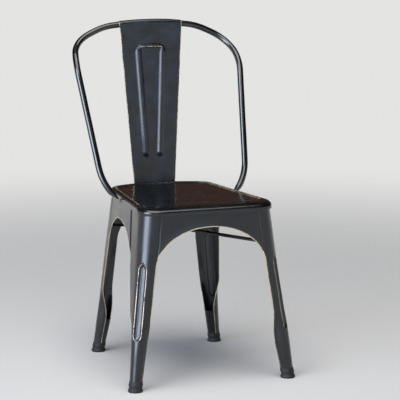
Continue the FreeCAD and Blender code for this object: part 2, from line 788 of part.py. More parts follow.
panel_front_y = seat_front_y + size("panel_inset_front")
panel_outer = seat_body(
    "panel_outer", -size("panel_inset_side"), panel_front_y, size("panel_corner_radius"),
    size("panel_corner_radius"), seat_bow_radius - size("panel_inset_rear"),
    SEAT - size("panel_depth"), "Sizes.panel_depth + Sizes.panel_overrun")
panel_under = seat_body(
    "panel_under", -size("panel_inset_side") + WALL, panel_front_y - WALL,
    size("panel_corner_radius") + WALL, size("panel_corner_radius") + WALL,
    seat_bow_radius - size("panel_inset_rear") + WALL,
    SEAT - size("panel_depth") - WALL, "Sizes.panel_depth + Sizes.sheet_thickness + Sizes.panel_overrun")

seat_hollow = cut("seat_hollow", seat_inner, panel_under)
seat_block = cut("seat_block", seat_outer, panel_outer)
node(cut("seat_pan_piece", seat_block, seat_hollow), "seat_pan")


# Back hoop: a round tube bent in three dimensions, with flattened ends.
def rounded_path(points, radii):
    """Straight runs joined by tangent arcs of given radii."""
    edges = []
    last = points[0]
    for before, here, after, radius in zip(points, points[1:], points[2:], radii):
        back = (before - here).normalize()
        ahead = (after - here).normalize()
        turn = math.pi - back.getAngle(ahead)
        tangent_length = radius * math.tan(turn / 2)
        start = here + back * tangent_length
        end = here + ahead * tangent_length
        centre = here + (back + ahead).normalize() * math.hypot(radius, tangent_length)
        crown = centre + (here - centre).normalize() * radius
        if (start - last).Length > 1e-6:
            edges.append(Part.makeLine(last, start))
        edges.append(Part.Arc(start, crown, end).toShape())
        last = end
    edges.append(Part.makeLine(last, points[-1]))
    return edges


# The splat stands against the rear of the seat and leans back to lie on the top of the hoop.
splat_reach = size("tube_radius") + size("splat_play")
seat_rear_y = seat_bow_centre + seat_bow_radius
splat_pivot = Vector(0, seat_rear_y + size("splat_play"), SKIRT_LOW)
top = Vector(0, size("hoop_top_y"), size("hoop_height"))
lean_base = top - splat_pivot
lean = math.atan2(lean_base.y, lean_base.z) - math.asin(
    (splat_reach + WALL) / math.hypot(lean_base.y, lean_base.z))
splat_up = Vector(0, math.sin(lean), math.cos(lean))
splat_front = Vector(0, -math.cos(lean), math.sin(lean))

half = size("hoop_half_width")
TOP_RADIUS = size("hoop_top_radius")
top_slope = math.asin(size("hoop_top_half") / TOP_RADIUS)
top_peak = top + splat_up * (TOP_RADIUS / math.cos(top_slope) - TOP_RADIUS)
SHOULDER_INSET = 96
shoulder_x = half - SHOULDER_INSET
end_run = side_direction(SKIRT_LOW)
end_outward = Vector(end_run.y, -end_run.x, 0)
end_y = size("hoop_end_y")
end_height = SEAT - size("hoop_end_drop")
seat_side = Vector(seat_side_x(end_y, 0), end_y, end_height)
hoop_end = seat_side + end_outward * (size("hoop_end_play") + size("hoop_end_thickness") / 2)
hoop_points = [
    hoop_end,
    Vector(half - 30, top.y - 197, top.z - 390),
    Vector(half, top.y - 75, top.z - 93),
    Vector(half - 16, top.y - 11, top.z - 44),
    top_peak + Vector(shoulder_x, 0, 0) - splat_up * (shoulder_x * math.tan(top_slope))]
BEND_RADII = [138, 115, 80, 155]
mirrored = [Vector(-p.x, p.y, p.z) for p in reversed(hoop_points)]
hoop_edges = rounded_path(
    hoop_points + [top_peak] + mirrored,
    BEND_RADII + [TOP_RADIUS] + list(reversed(BEND_RADII)))
# The round tube stops part of the way down its lowest bends, where it starts to flatten.
tube_edges = hoop_edges[1:-1]
first_bend = tube_edges[0]
ROUND_FROM = 0.28
span = first_bend.LastParameter - first_bend.FirstParameter
bend_points = [
    first_bend.valueAt(first_bend.FirstParameter + span * share)
    for share in (ROUND_FROM, (1 + ROUND_FROM) / 2, 1)]
tube_start = bend_points[0]
right_bend = Part.Arc(*bend_points).toShape()
left_bend = Part.Arc(*[Vector(-p.x, p.y, p.z) for p in reversed(bend_points)]).toShape()
tube_path = Part.Wire([right_bend] + tube_edges[1:-1] + [left_bend])
path = shape_object("hoop_path", tube_path)
start_direction = right_bend.tangentAt(right_bend.FirstParameter)


def tube_sweep(name, radius):
    """A round bar along the path of the hoop."""
    ring = doc.addObject("Part::Circle", name + "_ring")
    bind(ring, Radius=radius)
    ring.Placement = Placement(tube_start, Rotation(Vector(0, 0, 1), start_direction))
    sweep = doc.addObject("Part::Sweep", name)
    sweep.Sections = [ring]
    sweep.Spine = (path, ["Edge%d" % (i + 1) for i in range(len(tube_path.Edges))])
    sweep.Solid = True
    sweep.Frenet = False
    return sweep


tube = cut(
    "hoop_tube", tube_sweep("hoop_outside", "Sizes.tube_radius"),
    tube_sweep("hoop_bore", "Sizes.tube_radius - Sizes.tube_wall"))


def rounded_section(centre, across, depth, half_across, half_depth, bulge):
    """Four-sided section whose sides bulge into arcs."""
    corners = [
        centre + across * half_across + depth * half_depth,
        centre + across * half_across - depth * half_depth,
        centre - across * half_across - depth * half_depth,
        centre - across * half_across + depth * half_depth]
    sides = []
    for here, following in zip(corners, corners[1:] + corners[:1]):
        middle = (here + following) * 0.5
        out = (middle - centre).normalize()
        sides.append(Part.Arc(here, middle + out * bulge, following).toShape())
    return Part.Wire(sides)


# Each end of the hoop narrows from a round tube to a flat tongue beside the seat.
round_across = (end_run - start_direction * end_run.dot(start_direction)).normalize()
round_depth = start_direction.cross(round_across).normalize()
if round_depth.dot(end_outward) < 0:
    round_depth = round_depth * -1
half_chord = size("tube_radius") / math.sqrt(2)
round_bulge = size("tube_radius") - half_chord
TONGUE_BULGE = 0.1
tongue_right = ruled_loft("hoop_tongue_right", [
    rounded_section(tube_start, round_across, round_depth, half_chord, half_chord, round_bulge),
    rounded_section(hoop_end, end_run, end_outward, size("hoop_end_width") / 2 - TONGUE_BULGE,
                    size("hoop_end_thickness") / 2 - TONGUE_BULGE, TONGUE_BULGE)])
tongue_left = doc.addObject("Part::Mirroring", "hoop_tongue_left")
tongue_left.Source = tongue_right
tongue_left.Normal = Vector(1, 0, 0)
node(fuse("back_hoop_piece", [tube, tongue_right, tongue_left]), "back_hoop")

# A bead of weld under each tongue holds the hoop to the rolled edge of the seat.
bead = doc.addObject("Part::Cylinder", "right_weld_bead")
bind(bead, Radius="Sizes.weld_radius", Height="Sizes.weld_length")
bead_middle = seat_side + end_outward * (size("hoop_end_play") + size("weld_radius"))
bead_middle = bead_middle - Vector(0, 0, GAP + size("weld_radius"))
bead_start = bead_middle - end_run * (size("weld_length") / 2)
bead.Placement = Placement(bead_start, Rotation(Vector(0, 0, 1), end_run))
bead_left = doc.addObject("Part::Mirroring", "left_weld_bead")
bead_left.Source = bead
bead_left.Normal = Vector(1, 0, 0)
node(bead, "right_hoop_weld")
node(bead_left, "left_hoop_weld")


# Back splat: a tapered sheet that hooks over the hoop and stands behind the seat.
splat_low = splat_pivot - splat_up * ((SKIRT_LOW - size("splat_bottom_z")) / splat_up.z)
arch_centre = top - splat_up * TOP_RADIUS
hook_half_turn = math.asin(size("splat_top_half_width") / TOP_RADIUS)


def on_arch(turn, out, forward):
    """A point on the arched top: turned about its centre, moved outwards and forwards."""
    direction = Vector(math.sin(turn), 0, 0) + splat_up * math.cos(turn)
    return arch_centre + direction * (TOP_RADIUS + out) + splat_front * forward


plate_forward = splat_reach + WALL
plate_left, plate_middle, plate_right = [
    on_arch(turn, 0, plate_forward) for turn in (-hook_half_turn, 0, hook_half_turn)]
foot_left = splat_low - Vector(size("splat_bottom_half_width"), 0, 0)
foot_right = splat_low + Vector(size("splat_bottom_half_width"), 0, 0)
splat_plate = doc.addObject("Part::Extrusion", "splat_plate")
splat_plate.Base = shape_object("splat_line", Part.Face(Part.Wire([
    Part.makeLine(foot_left, foot_right), Part.makeLine(foot_right, plate_right),
    Part.Arc(plate_right, plate_middle, plate_left).toShape(),
    Part.makeLine(plate_left, foot_left)])))
splat_plate.DirMode = "Custom"
splat_plate.Dir = splat_front * -1
splat_plate.Solid = True
bind(splat_plate, LengthFwd="Sizes.sheet_thickness")

HOOK_TURN = math.radians(235)
hook_points = []
for reach in (splat_reach + WALL, splat_reach):
    hook_points.append([
        on_arch(0, math.sin(angle) * reach, math.cos(angle) * reach)
        for angle in (0, HOOK_TURN / 2, HOOK_TURN)])
(oa, ob, oc), (ia, ib, ic) = hook_points
hook_face = Part.Face(Part.Wire([
    Part.Arc(oa, ob, oc).toShape(), Part.makeLine(oc, ic),
    Part.Arc(ic, ib, ia).toShape(), Part.makeLine(ia, oa)]))
hook = doc.addObject("Part::Revolution", "splat_hook")
hook.Source = shape_object("splat_hook_line", hook_face)
hook.Axis = splat_front
hook.Base = arch_centre
hook.Angle = 2 * math.degrees(hook_half_turn)
hook.Symmetric = True
hook.Solid = True


def on_splat(x, z, lift):
    """A point in the middle of the splat sheet at a height, lifted towards the front."""
    along = (z - splat_low.z) / splat_up.z
    return splat_low + splat_up * along + Vector(x, 0, 0) + splat_front * lift


# The rib is a round pressing: its outer and inner surfaces share one middle line.
rib_sink = size("rib_rise") - size("rib_radius")
rib_left_low = on_splat(-size("rib_bottom_half"), size("rib_bottom_z"), rib_sink)
rib_left_high = on_splat(-size("rib_top_half"), size("rib_top_z") - size("rib_radius"), rib_sink)
rib_right_high = on_splat(size("rib_top_half"), size("rib_top_z") - size("rib_radius"), rib_sink)
rib_right_low = on_splat(size("rib_bottom_half"), size("rib_bottom_z"), rib_sink)


def rib_bars(name, radius):
    """Three round bars with ball ends along the upturned U of the rib."""
    bars = []
    points = [rib_left_low, rib_left_high, rib_right_high, rib_right_low]
    for index, (a, b) in enumerate(zip(points, points[1:])):
        bar = doc.addObject("Part::Cylinder", "%s_bar_%d" % (name, index))
        bind(bar, Radius=radius)
        bar.Height = (b - a).Length
        bar.Placement = Placement(a, Rotation(Vector(0, 0, 1), b - a))
        bars.append(bar)
    for index, point in enumerate(points):
        ball = doc.addObject("Part::Sphere", "%s_ball_%d" % (name, index))
        bind(ball, Radius=radius)
        ball.Placement = Placement(point, Rotation(Vector(0, 0, 1), splat_up))
        bars.append(ball)
    return fuse(name, bars)


rib_outside = rib_bars("rib_outside", "Sizes.rib_radius")
rib_inside = rib_bars("rib_inside", "Sizes.rib_radius - Sizes.sheet_thickness")
SLAB_MARGIN = 40
front_slab = doc.addObject("Part::Box", "rib_slab")
front_slab.Length = 2 * (size("rib_top_half") + SLAB_MARGIN)
front_slab.Height = size("rib_top_z") - size("rib_bottom_z") + 2 * SLAB_MARGIN
front_slab.Width = 2 * size("rib_radius")
slab_rotation = Rotation(Vector(1, 0, 0), -math.degrees(lean))
slab_corner = on_splat(-size("rib_top_half") - SLAB_MARGIN, size("rib_bottom_z") - SLAB_MARGIN, 0)
slab_corner = slab_corner + splat_front * (2 * size("rib_radius")) - splat_front * WALL
front_slab.Placement = Placement(slab_corner, slab_rotation)
rib_front = doc.addObject("Part::Common", "rib_front")
rib_front.Base = rib_outside
rib_front.Tool = front_slab
splat_raised = fuse("splat_raised", [splat_plate, hook, rib_front])
node(cut("back_splat_piece", splat_raised, rib_inside), "back_splat")


# Cross brace: two bent flat bars under the seat, joined by a rivet.
def inner_ring(rear, height):
    """Middle and inner radius of a leg's rounded corner."""
    radius = corner_radius(height)
    if rear:
        centre = bow_corner(height, radius)
    else:
        centre = rounded_corner(front_corner(height), Vector(-1, 0, 0), side_lean(height), radius)
    return centre, radius - WALL


BRACE_END = size("brace_end_z")
BRACE_GAP = 0.4
HOLE_RUN = 30
BRACE_STEP = size("brace_thickness") + BRACE_GAP


def ray_to_ring(start, direction, centre, radius):
    """Distance along a plan ray to the far side of a ring."""
    offset = Vector(centre.x - start.x, centre.y - start.y, 0)
    along = offset.dot(direction)
    across = (offset - direction * along).Length
    return along + math.sqrt(radius ** 2 - across ** 2)


brace_half = size("brace_width") / 2
front_ring = inner_ring(False, BRACE_END)[0]
rear_ring = inner_ring(True, BRACE_END)[0]


def bar_reach(start, across, heading, side, rear, end_z):
    """Length of a bar arm that stops just short of the leg, at its upper and lower edge."""
    reaches = []
    for height in (end_z, end_z + size("brace_thickness")):
        ring, radius = inner_ring(rear, height)
        aim = Vector(side * ring.x, ring.y, 0)
        for shift in (-brace_half, 0, brace_half):
            reaches.append(ray_to_ring(start + across * shift, heading, aim, radius))
    return min(reaches) - size("brace_play")


def make_brace(label, side, lift):
    """One bar, from a front leg to the rear leg across from it."""
    front_aim = Vector(side * front_ring.x, front_ring.y, 0)
    rear_aim = Vector(-side * rear_ring.x, rear_ring.y, 0)
    run = (rear_aim - front_aim).normalize()
    crossing = Vector(0, front_aim.y + run.y * (-front_aim.x / run.x), 0)
    across = Vector(-run.y, run.x, 0)
    end_z = BRACE_END + lift
    front_reach = bar_reach(crossing, across, run * -1, side, False, end_z)
    rear_reach = bar_reach(crossing, across, run, -side, True, end_z)
    crown = crossing + Vector(0, 0, size("brace_centre_z") + lift)
    lower = [
        crossing - run * front_reach + Vector(0, 0, end_z),
        crown - run * size("brace_flat"),
        crown + run * size("brace_flat"),
        crossing + run * rear_reach + Vector(0, 0, end_z)]
    rise = Vector(0, 0, size("brace_thickness"))
    upper = [point + rise for point in reversed(lower)]
    face = Part.Face(Part.makePolygon(lower + upper + [lower[0]]))
    face.translate(across * -brace_half)
    bar = doc.addObject("Part::Extrusion", label + "_bar")
    bar.Base = shape_object(label + "_line", face)
    bar.DirMode = "Custom"
    bar.Dir = across
    bar.Solid = True
    bind(bar, LengthFwd="Sizes.brace_width")
    hole = doc.addObject("Part::Cylinder", label + "_hole")
    bind(hole, Radius="Sizes.rivet_radius + Sizes.seam_gap")
    hole.Height = 2 * HOLE_RUN
    hole.Placement = Placement(crown - Vector(0, 0, HOLE_RUN), Rotation())
    node(cut(label + "_piece", bar, hole), label)
    return crossing


lower_crossing = make_brace("lower_brace_bar", 1, 0)
make_brace("upper_brace_bar", -1, BRACE_STEP)

stack = size("brace_thickness") + BRACE_STEP
pin = doc.addObject("Part::Cylinder", "brace_pin")
bind(pin, Radius="Sizes.rivet_radius")
pin.Height = stack + 2 * GAP
pin.Placement = Placement(lower_crossing + Vector(0, 0, size("brace_centre_z") - GAP), Rotation())
HEAD_HEIGHT = 2.2
heads = []
for name, base in (
        ("brace_pin_top", size("brace_centre_z") + stack + GAP),
        ("brace_pin_bottom", size("brace_centre_z") - GAP - HEAD_HEIGHT)):
    disc = doc.addObject("Part::Cylinder", name)
    bind(disc, Radius="Sizes.rivet_head_radius")
    disc.Height = HEAD_HEIGHT
    disc.Placement = Placement(lower_crossing + Vector(0, 0, base), Rotation())
    heads.append(disc)
node(fuse("brace_rivet_piece", [pin] + heads), "brace_rivet")

doc.recompute()

for obj in doc.Objects:
    if "Invalid" in obj.State or "Error" in obj.State:
        raise RuntimeError("%s failed: %s" % (obj.Name, obj.State))
os.makedirs("parts", exist_ok=True)
for piece in NODES:
    if piece.Shape.isNull() or not piece.Shape.isValid():
        raise RuntimeError("%s has no valid shape" % piece.Label)
for piece in NODES:
    piece.Shape.exportStep("parts/%s.step" % piece.Label)
    box = piece.Shape.BoundBox
    print("%-34s solids %d volume %9.0f  x %7.1f %7.1f  y %7.1f %7.1f  z %6.1f %6.1f" % (
        piece.Label, len(piece.Shape.Solids), piece.Shape.Volume,
        box.XMin, box.XMax, box.YMin, box.YMax, box.ZMin, box.ZMax))
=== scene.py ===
import math

import bmesh
import bpy
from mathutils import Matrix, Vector, noise
from mathutils.kdtree import KDTree


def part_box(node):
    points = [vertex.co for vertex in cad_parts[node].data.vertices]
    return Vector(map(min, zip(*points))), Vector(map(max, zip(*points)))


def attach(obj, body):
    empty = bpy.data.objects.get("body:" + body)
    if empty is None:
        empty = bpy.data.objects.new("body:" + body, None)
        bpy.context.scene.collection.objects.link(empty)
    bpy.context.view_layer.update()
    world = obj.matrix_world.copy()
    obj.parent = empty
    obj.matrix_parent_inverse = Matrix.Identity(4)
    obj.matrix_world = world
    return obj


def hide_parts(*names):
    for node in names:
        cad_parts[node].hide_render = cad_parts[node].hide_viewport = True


bl_info = {
    "name": "Metal bistro chair",
    "version": (1, 0, 0),
    "blender": (4, 5, 0),
    "location": "View3D > Sidebar > Chair",
    "description": "Pressed sheet steel chair with a bent tube back, built over its solid model",
    "category": "Object",
}

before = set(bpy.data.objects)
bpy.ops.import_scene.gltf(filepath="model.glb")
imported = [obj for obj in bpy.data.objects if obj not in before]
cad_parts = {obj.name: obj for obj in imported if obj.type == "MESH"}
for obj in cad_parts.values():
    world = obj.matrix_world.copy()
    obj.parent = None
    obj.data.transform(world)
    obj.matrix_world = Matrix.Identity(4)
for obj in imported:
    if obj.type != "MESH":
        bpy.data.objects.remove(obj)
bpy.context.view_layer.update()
MM = 0.001

# Reach of a leg's flanges at the arch base, across the front or back and along the side.
FRONT_FLANGES = (44 * MM, 92 * MM)
REAR_FLANGES = (49 * MM, 54 * MM)
# How far a flange runs on under an apron, and the clearance where formed sheet meets formed sheet.
LAP = 12 * MM
FORMED_GAP = 0.3 * MM
# How far the seat's edge stands out behind the curve of the back.
BACK_LIP = 2.9 * MM
# Reach of the opening channel's flanges where it leaves the tube and where its edges turn straight.
CHANNEL_FLANGES = (37 * MM, 37.5 * MM)
# Roundings of the seat in plan: its front corners, its rear corners and those of the sunk panel.
FRONT_CORNER, REAR_CORNER, PANEL_CORNER = 42 * MM, 43.9 * MM, 26 * MM
# Width of the seat's rim beside, in front of and behind the sunk panel.
PANEL_SIDE, PANEL_FRONT, PANEL_BACK = 13 * MM, 52 * MM, 14 * MM
# A flattened end of the hoop: half its width and half its thickness.
FLAT_END = (7.5 * MM, 2.5 * MM)


def length(label, says, millimetres):
    """A size that shows in the sidebar, written here in millimetres."""
    return bpy.props.FloatProperty(
        name=label, description=says, default=millimetres * MM, unit="LENGTH", subtype="DISTANCE",
        precision=4)


def shade(label, says, code):
    """A colour that shows in the sidebar, written here as an sRGB hex value."""
    return bpy.props.FloatVectorProperty(
        name=label, description=says, default=linear(code), size=4, min=0, max=1, subtype="COLOR")


def linear(code):
    """An sRGB hex value such as 1b2027 as linear red, green, blue and alpha."""
    channels = [int(code[i:i + 2], 16) / 255 for i in (0, 2, 4)]
    return [c / 12.92 if c <= 0.04045 else ((c + 0.055) / 1.055) ** 2.4 for c in channels] + [1.0]


class ChairSizes(bpy.types.PropertyGroup):
    """Sizes of the chair."""

    seat_height: length("Seat height", "Top of the seat rim above the floor", 436)
    wall: length("Sheet", "Thickness of every pressed sheet", 1.2)
    seam_gap: length("Seam gap", "Clearance between two sheets that lie on each other", 0.2)
    front_half_width: length("Front half width", "Front corner from the middle, at seat height", 170.5)
    front_face_y: length("Front face", "Front face at seat height", -208)
    rear_half_width: length("Rear half width", "Rear corner from the middle, at seat height", 131)
    rear_corner_y: length("Rear corner", "Where side and back would meet, at seat height", 168)
    rear_bow_radius: length("Back bow", "Plan curve of the back at seat height", 250)
    rear_bow_base_radius: length("Back bow at arches", "Plan curve of the back at the arch base", 590)
    rear_bow_y: length("Back", "Rearmost point of the back at seat height", 195)
    rear_bow_base_y: length("Back at arches", "Rearmost point of the back at the arch base", 198.4)
    front_foot_x: length("Front foot across", "Front foot from the middle", 197)
    front_foot_y: length("Front foot along", "Front foot along the chair", -229)
    rear_foot_x: length("Rear foot across", "Rear foot from the middle", 161)
    rear_foot_y: length("Rear foot along", "Rear foot along the chair", 187)
    leg_end: length("Leg end", "End of the leg inside its rubber foot", 8)
    neck: length("Neck", "Height where the closed tube opens into a channel", 88)
    opened: length("Opened", "Height where the channel edges are straight", 138)
    arch_base: length("Arch base", "Height where the arches begin", 285)
    shoulder: length("Shoulder", "Height where the hidden flanges reach their width", 345)
    leg_top: length("Leg top", "Top edge of the legs under the seat", 430)
    front_arch_top: length("Front arch", "Crown of the front arch", 384)
    side_arch_top: length("Side arch", "Crown of the side arches", 376)
    rear_arch_top: length("Rear arch", "Crown of the rear arch", 376)
    groove_low: length("Groove foot", "Lower end of the pressed groove", 123)
    groove_high: length("Groove point", "Pointed upper end of the pressed groove", 306)
    groove_half: length("Groove half width", "Half the width of the pressed groove", 11.5)
    groove_depth: length("Groove depth", "Depth of the pressed groove", 5.4)
    skirt: length("Rolled edge", "Height of the rolled edge of the seat", 18)
    roll: length("Roll", "Rounding of the rolled edge", 8)
    panel_depth: length("Panel depth", "Depth of the sunk seat panel", 2.5)
    front_fall: length("Front fall", "How far the front of the seat rim falls away", 3)
    tube: length("Tube", "Radius of the back hoop tube", 8)
    hoop_height: length("Hoop height", "Middle of the tube at the top of the back", 847)
    hoop_top_y: length("Hoop top", "Middle of the tube at the top, along the chair", 237)
    hoop_half: length("Hoop half width", "Where hoop sides and shoulders would meet", 221)
    hoop_top_radius: length("Hoop arch", "Arch of the tube along the top", 842)
    splat_top_half: length("Splat top", "Half width of the splat at the hoop", 84.5)
    splat_low_half: length("Splat foot", "Half width of the splat at its lower end", 54.5)
    splat_low: length("Splat lower end", "Lower end of the splat above the floor", 402)
    rib_rise: length("Rib rise", "Height of the pressed rib above the splat", 5.6)


class ChairFinishes(bpy.types.PropertyGroup):
    """Colours of the chair's finishes."""

    enamel_dark: shade("Enamel, dark", "Deep tone of the black enamel", "040405")
    # Paler blue-grey of the enamel's clouds and streaks: partly patina, partly painted reflection.
    enamel_light_and_sheen: shade("Enamel, light", "Clouded blue-grey tone of the black enamel", "12171d")
    # Paler blue-grey beside rubbed edges, also used for the painted highlight beside the apron arches.
    enamel_thin_and_sheen: shade("Enamel, thin", "Hazy blue-grey of the enamel beside rubbed edges", "323d49")
    bare_pale: shade("Bare steel", "Steel where the enamel is rubbed off", "dcc7a4")
    bare_warm: shade("Primer and rust", "Copper brown between enamel and bare steel", "8a5634")
    rubber: shade("Rubber", "Moulded rubber of the feet", "0e0e0f")
    weld: shade("Weld", "Dressed weld bead", "cfc9bf")
    floor: shade("Floor", "Studio floor", "e6e4e1")


def sizes():
    return bpy.context.scene.chair_sizes


def finishes():
    return bpy.context.scene.chair_finishes


# Lines that the sheets follow, all in metres.
def blend(height, low, high, at_low, at_high):
    """Straight line between two heights."""
    return at_low + (height - low) / (high - low) * (at_high - at_low)


def smooth(share):
    """Soft step from 0 to 1."""
    share = min(1.0, max(0.0, share))
    return share * share * (3 - 2 * share)


# Height and rounding of the leg corner in millimetres.
CORNER_ROUNDING = ((8, 15), (88, 18.5), (138, 24.5), (285, 36), (430, 41))


def corner_radius(height):
    """Rounding of the leg corner at a height."""
    for (low, at_low), (high, at_high) in zip(CORNER_ROUNDING, CORNER_ROUNDING[1:]):
        if height <= high * MM or high == CORNER_ROUNDING[-1][0]:
            return blend(height, low * MM, high * MM, at_low * MM, at_high * MM)


def leg_corner(height, rear):
    """Where the faces of a right leg would meet in a sharp corner."""
    s = sizes()
    end = CORNER_ROUNDING[0][1] * MM
    if rear:
        foot = (s.rear_foot_x + end, s.rear_foot_y + end)
        top = (s.rear_half_width, s.rear_corner_y)
    else:
        foot = (s.front_foot_x + end, s.front_foot_y - end)
        top = (s.front_half_width, s.front_face_y)
    return Vector((
        blend(height, s.leg_end, s.seat_height, foot[0], top[0]),
        blend(height, s.leg_end, s.seat_height, foot[1], top[1]), height))


def side_direction(height):
    """Plan direction of the right side face, from front to back."""
    return (leg_corner(height, True) - leg_corner(height, False)).normalized()


def side_lean(height):
    """Plan direction of a leg's side face, which turns square towards the foot."""
    s = sizes()
    direction = side_direction(height)
    share = min(1.0, max(0.0, (height - s.neck) / (s.arch_base - s.neck)))
    return Vector((direction.x * share, direction.y, 0)).normalized()


def bow(height):
    """Middle and radius of the plan curve of the back."""
    s = sizes()
    bend = blend(height, s.arch_base, s.seat_height, 1 / s.rear_bow_base_radius, 1 / s.rear_bow_radius)
    apex = blend(height, s.arch_base, s.seat_height, s.rear_bow_base_y, s.rear_bow_y)
    return Vector((0, apex - 1 / bend, height)), 1 / bend


def side_point(height, from_front, offset):
    """A point of the right side face, a distance from the front corner and outside it."""
    direction = side_direction(height)
    outward = Vector((direction.y, -direction.x, 0))
    return leg_corner(height, False) + direction * from_front + outward * offset


def rounded_corner(corner, first, second, radius):
    """Middle of the rounding between two plan directions."""
    return corner + (first + second).normalized() * (radius / math.sin(first.angle(second) / 2))


def bow_corner(height, radius):
    """Middle of the rear rounding, tangent to the side face and to the back."""
    direction = side_direction(height)
    foot = leg_corner(height, False) + Vector((-direction.y, direction.x, 0)) * radius
    middle, reach = bow(height)
    closest = foot + direction * (middle - foot).dot(direction)
    return closest + direction * math.sqrt((reach - radius) ** 2 - (closest - middle).length ** 2)


def front_seam(height):
    """Visible edge of the front apron."""
    s = sizes()
    return blend(height, s.arch_base, s.leg_top, 140 * MM, 124.5 * MM)


def side_seam(height, rear):
    """Visible edge of a side apron, from its corner."""
    s = sizes()
    base, top = (57, 46) if rear else (95, 115)
    return blend(height, s.arch_base, s.leg_top, base * MM, top * MM)


class Arch:
    """Opening under an apron: two quarter ellipses over a straight base."""

    def __init__(self, low, high, crown, top):
        self.low = low
        self.high = high
        self.crown = crown
        self.rise = top - sizes().arch_base

    def edge(self, height, upper):
        """Where the arch's side stands at a height, or None above its crown."""
        share = (height - sizes().arch_base) / self.rise
        if share >= 1:
            return None
        reach = math.sqrt(1 - max(0.0, share) ** 2)
        return self.crown + (self.high - self.crown if upper else self.low - self.crown) * reach

    def at(self, angle):
        """Place along the apron and height for an angle from 0 at the high side to pi at the low side."""
        reach = self.high - self.crown if angle < math.pi / 2 else self.crown - self.low
        return self.crown + reach * math.cos(angle), sizes().arch_base + self.rise * math.sin(angle)

    def distance(self, place, height):
        """Distance of a point above the arch from its edge."""
        reach = self.high - self.crown if place > self.crown else self.crown - self.low
        u = (place - self.crown) / reach
        v = max(0.0, height - sizes().arch_base) / self.rise
        slope = 2 * math.hypot(u / reach, v / self.rise)
        return max(0.0, (u * u + v * v - 1) / slope)

    def seam_angle(self, seam_at, upper):
        """Angle at which a seam meets the arch."""
        low, high = (0.0, math.pi / 2) if upper else (math.pi / 2, math.pi)
        for _ in range(40):
            angle = (low + high) / 2
            place, height = self.at(angle)
            if place < seam_at(height):
                high = angle
            else:
                low = angle
        return (low + high) / 2


def front_arch():
    s = sizes()
    half = leg_corner(s.arch_base, False).x - FRONT_FLANGES[0]
    return Arch(-half, half, 0, s.front_arch_top)


def side_arch():
    s = sizes()
    whole = (leg_corner(s.arch_base, True) - leg_corner(s.arch_base, False)).length
    low = side_point(s.arch_base, FRONT_FLANGES[1], 0).y
    high = side_point(s.arch_base, whole - REAR_FLANGES[1], 0).y
    return Arch(low, high, (low + high) / 2 + 24 * MM, s.side_arch_top)


def rear_arch():
    s = sizes()
    half = rear_reach_x(s.arch_base, REAR_FLANGES[0])
    return Arch(-half, half, 0, s.rear_arch_top)


def rear_rounding(height):
    """Radius of the rear rounding, radius of the back's curve and the angle of one middle about the other."""
    radius = corner_radius(height)
    middle, curve = bow(height)
    spoke = bow_corner(height, radius) - middle
    return radius, curve, math.atan2(spoke.x, spoke.y)


def rear_reach_x(height, reach):
    """Place across the back of a flange that reaches a distance from the rear corner."""
    radius, curve, angle = rear_rounding(height)
    return curve * math.sin(angle - (reach - radius) / curve)


# Making sheet from rows of points.
def skin(bm, rows, closed=False):
    """Draws an edge out row by row into a sheet, from rows of (place, wear) points."""
    wear = bm.verts.layers.float.get("wear") or bm.verts.layers.float.new("wear")
    first = []
    for place, worn in rows[0]:
        vert = bm.verts.new(place)
        vert[wear] = worn
        first.append(vert)
    pairs = list(zip(first, first[1:])) + ([(first[-1], first[0])] if closed else [])
    edges = [bm.edges.new(pair) for pair in pairs]
    verts = first
    for row in rows[1:]:
        drawn = bmesh.ops.extrude_edge_only(bm, edges=edges)["geom"]
        fresh = {item for item in drawn if isinstance(item, bmesh.types.BMVert)}
        verts = [next(edge.other_vert(vert) for edge in vert.link_edges if edge.other_vert(vert) in fresh)
                 for vert in verts]
        for vert, (place, worn) in zip(verts, row):
            vert.co = place
            vert[wear] = worn
        edges = [edge for edge in drawn if isinstance(edge, bmesh.types.BMEdge)
                 and edge.verts[0] in fresh and edge.verts[1] in fresh]
    return first, verts


def circle(centre, across, along, count, worn=0.0):
    """A closed row around a centre, from its two half axes."""
    turns = [2 * math.pi * k / count for k in range(count)]
    return [(centre + across * math.cos(turn) + along * math.sin(turn), worn) for turn in turns]


def solid_skin(rows):
    """A sheet of closed rows with both its ends filled."""
    bm = bmesh.new()
    for end in skin(bm, rows, closed=True):
        bm.faces.new(end)
    bmesh.ops.recalc_face_normals(bm, faces=bm.faces)
    return bm


def rubbed(distance, strength=1.0, width=2.6 * MM):
    """Wear at a distance from an edge."""
    return strength * math.exp(-(distance / width) ** 2)


def steps_from_edge(span, count):
    """Distances along a span: fine beside its edge, then even."""
    scale = min(MM, span / 22)
    fine = [step * scale for step in (0, 0.7, 1.5, 2.6, 4.5, 8)]
    start = fine[-1]
    return fine + [start + (span - start) * (k + 1) / count for k in range(count)]


def dent(bm, depth, size, seed):
    """Soft unevenness of hand-finished sheet."""
    bm.normal_update()
    shift = Vector((seed * 3.1, seed * 1.7, seed * 0.9))
    moves = [noise.noise(vert.co / size + shift) * depth for vert in bm.verts]
    for vert, move in zip(bm.verts, moves):
        vert.co += vert.normal * move


def turn_outwards(bm, middle):
    """Makes the faces look away from a line that runs inside the piece."""
    bmesh.ops.remove_doubles(bm, verts=bm.verts, dist=1e-6)
    bmesh.ops.recalc_face_normals(bm, faces=bm.faces)
    bm.normal_update()
    facing = sum(face.normal.dot(face.calc_center_median() - middle(face.calc_center_median()))
                 * face.calc_area() for face in bm.faces)
    if facing < 0:
        bmesh.ops.reverse_faces(bm, faces=bm.faces)
    bm.normal_update()


def having(thing, **settings):
    """A thing with its settings."""
    for name, value in settings.items():
        setattr(thing, name, value)
    return thing


def add_object(name, data, **settings):
    """Puts an object in the scene."""
    thing = having(bpy.data.objects.new(name, data), **settings)
    bpy.context.scene.collection.objects.link(thing)
    return thing


def add_mesh(bm, name, material):
    """Puts a finished mesh in the scene with its material."""
    mesh = bpy.data.meshes.new(name)
    bm.to_mesh(mesh)
    bm.free()
    mesh.materials.append(material)
    return add_object(name, mesh)


